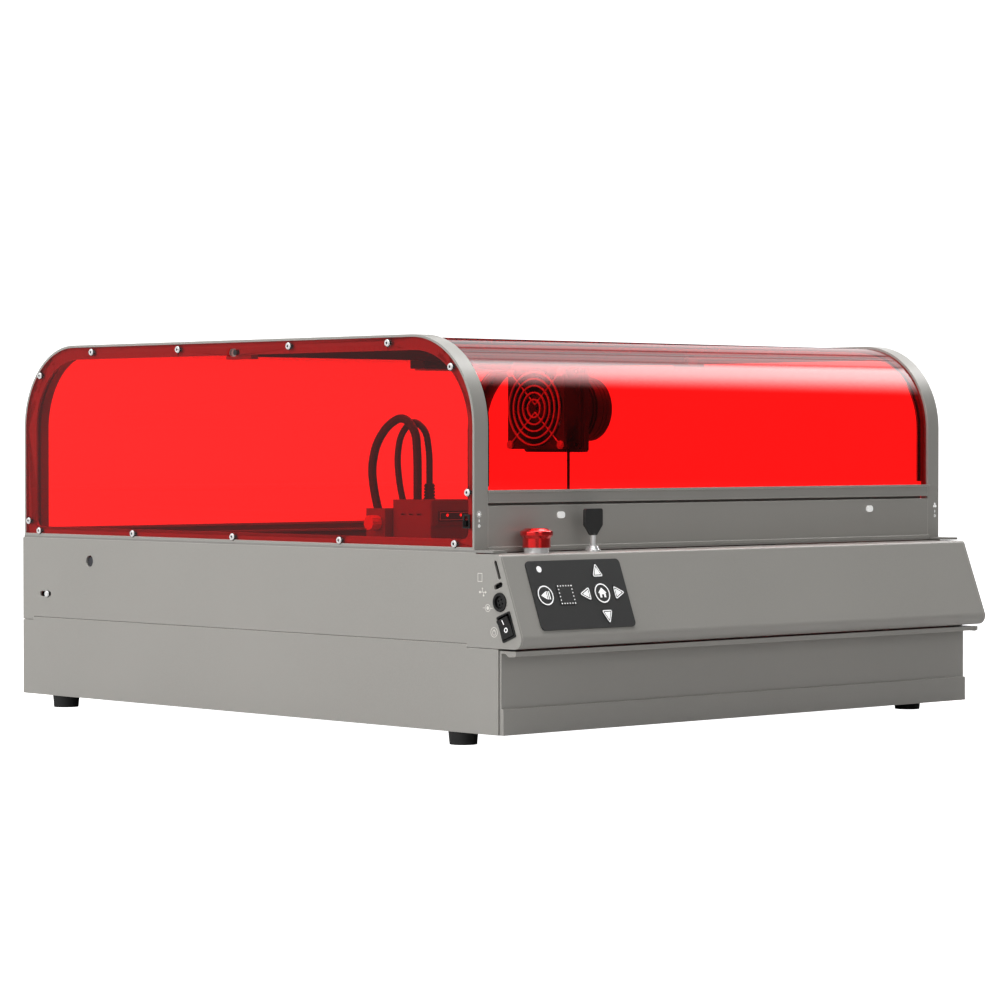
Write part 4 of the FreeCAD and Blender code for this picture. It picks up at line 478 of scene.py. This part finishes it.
# Painted highlight: the black cover is made lighter along its edges.
edges = add(tree, "ShaderNodeMapRange", {0: turn, 1: 0.995, 2: 0.86}).outputs[0]
black = add(tree, "ShaderNodeMix", {0: edges, 6: linear("2C2C2C"), 7: linear("2C2C2C", 1.9)},
            data_type="RGBA").outputs[2]
tone = add(tree, "ShaderNodeMix", {0: cover, 6: linear("F4F4F4"), 7: black}, data_type="RGBA").outputs[2]
grain = add(tree, "ShaderNodeTexNoise", {"Vector": place, "Scale": 1 / (0.7 * MM),
                                         "Detail": 3.0}).outputs[0]
rough = add(tree, "ShaderNodeMapRange", {0: cover, 3: 0.2, 4: 0.4}).outputs[0]
normal = add(tree, "ShaderNodeBump", {"Height": grain, "Distance": 0.02 * MM, "Normal": soft}).outputs[0]
shader = add(tree, "ShaderNodeBsdfPrincipled", {"Base Color": tone, "Roughness": rough, "Metallic": bare,
                                                "Normal": normal})
add(tree, "ShaderNodeOutputMaterial", {"Surface": shader.outputs[0]})
dress(key_finish, "key")
barrel_plate = solid_finish("nickel_plated_brass", "F4F4F4", rough=0.2, grain_mm=0.8, depth_mm=0.005,
                            edge_mm=0.2, painted_edge_light=1.2, metallic=0.75)
dress(barrel_plate, "key_barrel")

# ---------------------------------------------------------------- keypad
# Polyester overlay with embossed keys over a board, glued into the console's slope, printed in white.
# The film is satin charcoal, painted a little darker along its edges as shade. Words are left out, and each
# key has a plain symbol.
overlay = solid_finish("satin_polyester_overlay", "3C3C3C", rough=0.38, grain_mm=0.45,
                       depth_mm=0.01, edge_mm=0.4, mottle=0.06, painted_edge_light=0.55)
dress(overlay, "keypad_panel", "key_start", "key_frame", "key_left", "key_home", "key_right",
      "key_up", "key_down")
board = solid_finish("green_solder_mask", "173A24", rough=0.35, grain_mm=1.4, depth_mm=0.04,
                     edge_mm=0.7, mottle=0.2)
dress(board, "keypad_board")

PAD_LENGTH = 57 * MM      # down the slope
CAP_RISE = 0.52 * MM      # key caps stand this far above the overlay
RING_R = 8.1
RING_WIDTH = 1.0
TRIANGLE_HALF = math.sin(math.radians(120))     # half the width of a three-sided disc of radius 1
pad_low, pad_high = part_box("keypad_panel")
SLOPE_OUT = Vector((0, -0.9332, 0.3593)).normalized()
SLOPE_DOWN = Vector((0, -0.3593, -0.9332)).normalized()
pad_top = Vector((pad_low.x, pad_low.y - SLOPE_DOWN.y * PAD_LENGTH, pad_high.z))


def on_pad(x, down, lift):
    """Place on the keypad's face, x across it and down it from its upper left corner."""
    return facing(pad_top + Vector((x, 0, 0)) + SLOPE_DOWN * down + SLOPE_OUT * lift, (1, 0, 0), SLOPE_OUT)


def on_key(node):
    """Place on the middle of a key's cap."""
    low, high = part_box(node)
    middle = (low + high) / 2
    return on_pad(middle.x - pad_low.x, (middle - pad_top).dot(SLOPE_DOWN), CAP_RISE)


def pointer(bm, half_length, half_width, turn, drop=0.0):
    """Triangle that points up before it is turned, with its middle lowered by drop."""
    centre = Matrix.Rotation(math.radians(turn), 2) @ Vector((0, -half_length / 3 - drop))
    return disc(bm, 1.0, centre.x, centre.y, 3, (half_width / TRIANGLE_HALF, half_length * 4 / 3), turn)


def arrow(bm, turn):
    """Triangle in an outlined one, whose corners are rounded to stay on the cap."""
    pointer(bm, 5.65, 5.75, turn, -0.4)
    bmesh.ops.bevel(bm, geom=bm.verts[:], offset=2.1, segments=4, profile=0.5, affect="VERTICES")
    bm.faces.ensure_lookup_table()
    outline(bm, bm.faces[0], 0.8)
    pointer(bm, 3.2, 3.25, turn, 0.5)


def start_symbol(bm):
    outline(bm, disc(bm, RING_R, sides=48), RING_WIDTH)
    disc(bm, 1.0, -1.0, 0, 3, (3.4 / TRIANGLE_HALF, 3.9), 90)
    for x in (1.7, 3.6):
        bar(bm, x, x + 1.0, -3.4, 3.4)


def home_symbol(bm):
    outline(bm, disc(bm, RING_R, sides=48), RING_WIDTH)
    disc(bm, 1.0, 0, 1.67, 3, (4.6 / TRIANGLE_HALF, 2.93), 0)
    for x in (-3.2, 1.2):
        bar(bm, x, x + 2.0, -3.6, 0.2)
    bar(bm, -1.2, 1.2, -1.0, 0.2)


def frame_symbol(bm):
    """Square of dots."""
    half = 7.25
    gaps = 5
    for step in range(gaps + 1):
        along = -half + step * 2 * half / gaps
        for x, y in ((along, half), (along, -half), (half, along), (-half, along)):
            disc(bm, 0.55, x, y, 10)


for node, turn in (("key_up", 0), ("key_left", 90), ("key_down", 180), ("key_right", 270)):
    printed(node + "_print", lambda bm: arrow(bm, turn), on_key(node), white_ink, node + "_body")
for node, symbol in (("key_start", start_symbol), ("key_home", home_symbol), ("key_frame", frame_symbol)):
    printed(node + "_print", symbol, on_key(node), white_ink, node + "_body")
printed("status_light", lambda bm: disc(bm, 2.6), on_pad(13 * MM, 6.9 * MM, LIFT), white_ink, "case")

# ---------------------------------------------------------------- ports and power rocker
# Moulded sockets behind the left sheet, and a rocker of glossy black polycarbonate that snaps into it.
# The rocker carries I and O in white; each port has a small grey pictogram on the paint beside it.
gloss_black = solid_finish("polished_polycarbonate_black", "141414", rough=0.2, grain_mm=1.4,
                           depth_mm=0.01, edge_mm=0.6, mottle=0.1, painted_edge_light=3.0)
dress(gloss_black, "power_rocker")
socket_black = solid_finish("socket_plastic_black", "181818", rough=0.35, grain_mm=1.1,
                            depth_mm=0.02, edge_mm=0.4, mottle=0.1, painted_edge_light=2.4)
dress(socket_black, "port_sockets")
rocker_low, rocker_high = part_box("power_rocker")
rocker_mid = (rocker_low + rocker_high) / 2
ROCKER_LIFT = 0.03 * MM


def on_rocker(down):
    """Place on the rocker's face, as far down its slope from its middle as down says."""
    data = NODES["power_rocker"].data
    faces = BVHTree.FromPolygons([v.co for v in data.vertices],
                                 [tuple(p.vertices) for p in data.polygons])
    start = Vector((rocker_low.x - 0.05, rocker_mid.y, rocker_mid.z)) + SLOPE_DOWN * down
    point, normal, _, _ = faces.ray_cast(start, Vector((1, 0, 0)))
    normal = -normal if normal.x > 0 else normal
    return facing(point + normal * ROCKER_LIFT, (-SLOPE_DOWN).cross(normal), normal)


printed("rocker_mark_on", lambda bm: bar(bm, -0.45, 0.45, -1.9, 1.9), on_rocker(-4.4 * MM),
        white_ink, "rocker")
printed("rocker_mark_off", lambda bm: outline(bm, disc(bm, 2.0), 0.8), on_rocker(1.9 * MM),
        white_ink, "rocker")
SIDE_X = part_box("upper_left_panel")[0].x


def card_sign(bm):
    outline(bm, bar(bm, -2.6, 2.6, -3.4, 3.4), 0.5)


def data_sign(bm):
    bar(bm, -3.6, 2.2, -0.25, 0.25)
    disc(bm, 1.0, -3.6, 0, 20)
    disc(bm, 1.3, 2.9, 0, 3, turn=270)
    bar(bm, -1.0, -0.6, 0.22, 2.6)
    disc(bm, 0.8, -0.8, 2.8, 4)
    bar(bm, 0.4, 0.8, -2.2, -0.22)
    disc(bm, 0.8, 0.6, -2.6, 16)


def supply_sign(bm):
    disc(bm, 1.5, sides=24)
    outline(bm, disc(bm, 3.0), 0.45)
    for x in (-5.6, 3.0):
        bar(bm, x, x + 2.6, -0.22, 0.22)


def power_sign(bm):
    outline(bm, disc(bm, 4.0, sides=36), 0.5)
    bar(bm, -0.3, 0.3, 0.2, 2.6)
    outline(bm, disc(bm, 2.1, 0, -0.3), 0.42)


# name, how far behind and above the rocker's middle the sign is, and what draws it
for name, back_mm, up_mm, sign in (("mark_card", 30.6, 38.1, card_sign),
                                   ("mark_data", 27.0, 26.7, data_sign),
                                   ("mark_supply", 21.7, 14.5, supply_sign),
                                   ("mark_power", 14.4, -4.1, power_sign)):
    spot = Vector((SIDE_X - LIFT, rocker_mid.y + back_mm * MM, rocker_mid.z + up_mm * MM))
    printed(name, sign, facing(spot, (0, -1, 0), (-1, 0, 0)), grey_ink, "case")

# ---------------------------------------------------------------- slide switches of lamp and fan
# Black acetal sliders in slots at the front of the arches, one for the lamp and one for the fan.
# I and O and a small lamp or fan sign are printed on the arch beside each.
acetal = solid_finish("black_acetal", "0B0B0B", rough=0.6, grain_mm=1.4, depth_mm=0.01,
                      edge_mm=0.4, mottle=0.1, painted_edge_light=1.6, shine=0.12)
dress(acetal, "light_slider", "fan_slider")
MARK_INSET = 5.2 * MM     # from the arch's outer edge
MARK_UP = 0.8 * MM
SIGN_UP = 6.6             # of the lamp or fan above the middle of I and O


def on_off(bm):
    bar(bm, -0.35, 0.35, 0.4, 2.5)
    outline(bm, disc(bm, 1.2, 0, -2.6, 24), 0.5)


def lamp_sign(bm):
    on_off(bm)
    disc(bm, 1.2, 0, SIGN_UP, 20)
    for spoke in range(8):
        bar(bm, 1.7, 2.7, -0.2, 0.2, 45 * spoke, (0, SIGN_UP))


def fan_sign(bm):
    on_off(bm)
    for blade in range(3):
        angle = math.radians(120 * blade + 90)
        disc(bm, 1.05, 1.35 * math.cos(angle), 1.35 * math.sin(angle) + SIGN_UP, 18)


def switch_print(name, slider, arch, sign, side):
    """Marks beside a slider, on its arch's front: side is -1 at the left and 1 at the right."""
    low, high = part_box(slider)
    arch_low, arch_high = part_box(arch)
    x = arch_low.x + MARK_INSET if side < 0 else arch_high.x - MARK_INSET
    spot = Vector((x, arch_low.y, (low.z + high.z) / 2 + MARK_UP)) + FACE_LIFT
    printed(name, sign, facing(spot, (1, 0, 0), FORWARDS), white_ink, "case")


switch_print("light_switch_marks", "light_slider", "left_arch", lamp_sign, -1)
switch_print("fan_switch_marks", "fan_slider", "right_arch", fan_sign, 1)

# ---------------------------------------------------------------- floor
# Plain pale floor. It takes the object's shadow and shows as white to the camera.
# It is only a middle grey, so that it throws little light up at the case, and far to the left it carries
# on the pale wall that the end window mirrors.
FLOOR_REACH = 12.0
floor_mesh = bpy.data.meshes.new("floor")
bm = bmesh.new()
bmesh.ops.create_grid(bm, x_segments=4, y_segments=4, size=FLOOR_REACH)
bm.to_mesh(floor_mesh)
bm.free()
floor = bpy.data.objects.new("floor", floor_mesh)
bpy.context.scene.collection.objects.link(floor)
floor.location.z = -0.5 * MM
pale_floor, tree = new_material("pale_floor")
path = add(tree, "ShaderNodeLightPath")
spot = add(tree, "ShaderNodeNewGeometry").outputs["Position"]
along = add(tree, "ShaderNodeSeparateXYZ", {0: spot}).outputs[0]
far_left = add(tree, "ShaderNodeMapRange", {0: along, 1: -1.2, 2: -2.4, 4: 0.20}).outputs[0]
mirrored = add(tree, "ShaderNodeMath", {0: path.outputs["Is Glossy Ray"], 1: far_left},
               operation="MULTIPLY").outputs[0]
power = add(tree, "ShaderNodeMath", {0: path.outputs["Is Camera Ray"], 1: 1.35, 2: mirrored},
            operation="MULTIPLY_ADD").outputs[0]
matt = add(tree, "ShaderNodeBsdfDiffuse", {"Color": (0.45, 0.45, 0.45, 1)}).outputs[0]
glow = add(tree, "ShaderNodeEmission", {"Color": (1, 1, 1, 1), "Strength": power}).outputs[0]
shown = add(tree, "ShaderNodeAddShader", {0: matt, 1: glow}).outputs[0]
add(tree, "ShaderNodeOutputMaterial", {"Surface": shown})
floor_mesh.materials.append(pale_floor)

# ---------------------------------------------------------------- studio
# White room for the camera, dim light all round, and panels that only gloss sees, so that the bent acrylic
# and the bright metal have something to mirror. Each panel is a range of directions.
world = bpy.data.worlds.new("studio")
bpy.context.scene.world = world
world.use_nodes = True
tree = world.node_tree
tree.nodes.clear()
heading = add(tree, "ShaderNodeTexCoord").outputs["Generated"]
EAST, NORTH, RISE = add(tree, "ShaderNodeSeparateXYZ", {0: heading}).outputs


def panel(strength, *ranges):
    """Light of this strength where every (direction, low, high, fade) holds."""
    level = strength
    for value, low, high, fade in ranges:
        rising = add(tree, "ShaderNodeMapRange", {0: value, 1: low - fade, 2: low},
                     interpolation_type="SMOOTHSTEP").outputs[0]
        falling = add(tree, "ShaderNodeMapRange", {0: value, 1: high, 2: high + fade, 3: 1.0, 4: 0.0},
                      interpolation_type="SMOOTHSTEP").outputs[0]
        inside = add(tree, "ShaderNodeMath", {0: rising, 1: falling}, operation="MULTIPLY").outputs[0]
        level = add(tree, "ShaderNodeMath", {0: inside, 1: level}, operation="MULTIPLY").outputs[0]
    return level


mirrored = 0.03
for lit in (panel(1.15, (NORTH, 0.14, 0.63, 0.03), (EAST, 0.2, 2.0, 0.3)),
            panel(0.8, (NORTH, 0.16, 0.30, 0.06), (EAST, 0.2, 2.0, 0.3)),
            panel(0.28, (NORTH, 0.2, 2.0, 0.3), (EAST, -2.0, 0.0, 0.2)),
            panel(6.2, (NORTH, -0.12, 2.0, 0.32), (NORTH, -2.0, 0.0, 0.15), (RISE, 0.5, 0.80, 0.04),
                  (EAST, 0.45, 2.0, 0.1)),
            panel(1.6, (RISE, 0.82, 2.0, 0.08), (NORTH, -0.8, 0.8, 0.1)),
            panel(1.5, (EAST, -2.0, -0.82, 0.06), (RISE, 0.0, 0.6, 0.1)),
            panel(1.4, (EAST, -0.40, -0.12, 0.06), (NORTH, -2.0, -0.7, 0.1))):
    mirrored = add(tree, "ShaderNodeMath", {0: lit, 1: mirrored}, operation="ADD").outputs[0]
for seam_low, seam_high, depth in ((0.28, 0.30, 0.5), (0.40, 0.44, 0.7)):
    seam = panel(depth, (NORTH, seam_low, seam_high, 0.012))
    rest = add(tree, "ShaderNodeMath", {0: 1.0, 1: seam}, operation="SUBTRACT").outputs[0]
    mirrored = add(tree, "ShaderNodeMath", {0: mirrored, 1: rest}, operation="MULTIPLY").outputs[0]
path = add(tree, "ShaderNodeLightPath")
white = add(tree, "ShaderNodeBackground", {"Color": (1, 1, 1, 1), "Strength": 1.4}).outputs[0]
dim = add(tree, "ShaderNodeBackground", {"Color": (1, 1, 1, 1), "Strength": 0.20}).outputs[0]
panels = add(tree, "ShaderNodeBackground", {"Color": (1, 1, 1, 1), "Strength": mirrored}).outputs[0]
unseen = add(tree, "ShaderNodeMixShader", {0: path.outputs["Is Glossy Ray"], 1: dim, 2: panels}).outputs[0]
room = add(tree, "ShaderNodeMixShader", {0: path.outputs["Is Camera Ray"], 1: unseen, 2: white}).outputs[0]
add(tree, "ShaderNodeOutputWorld", {"Surface": room})


def soft_box(name, place, target, width, height, power):
    """Large soft lamp that no reflection and no camera sees."""
    data = bpy.data.lights.new(name, "AREA")
    data.shape = "RECTANGLE"
    data.size = width
    data.size_y = height
    data.energy = power
    light = bpy.data.objects.new(name, data)
    bpy.context.scene.collection.objects.link(light)
    light.location = place
    light.rotation_euler = (Vector(target) - Vector(place)).to_track_quat("-Z", "Y").to_euler()
    light.visible_camera = False
    light.visible_glossy = False


soft_box("left_box", (-2.6, 0.4, 1.1), (0, 0, 0.15), 2.6, 2.2, 47)
soft_box("front_box", (-0.4, -3.0, 1.2), (0, 0, 0.15), 2.6, 1.6, 13)
soft_box("top_box", (0.0, 0.1, 2.2), (0, 0, 0.2), 2.4, 2.0, 66)

scene = bpy.context.scene
scene.view_settings.view_transform = "Standard"
scene.cycles.transparent_max_bounces = 24
scene.cycles.max_bounces = 10
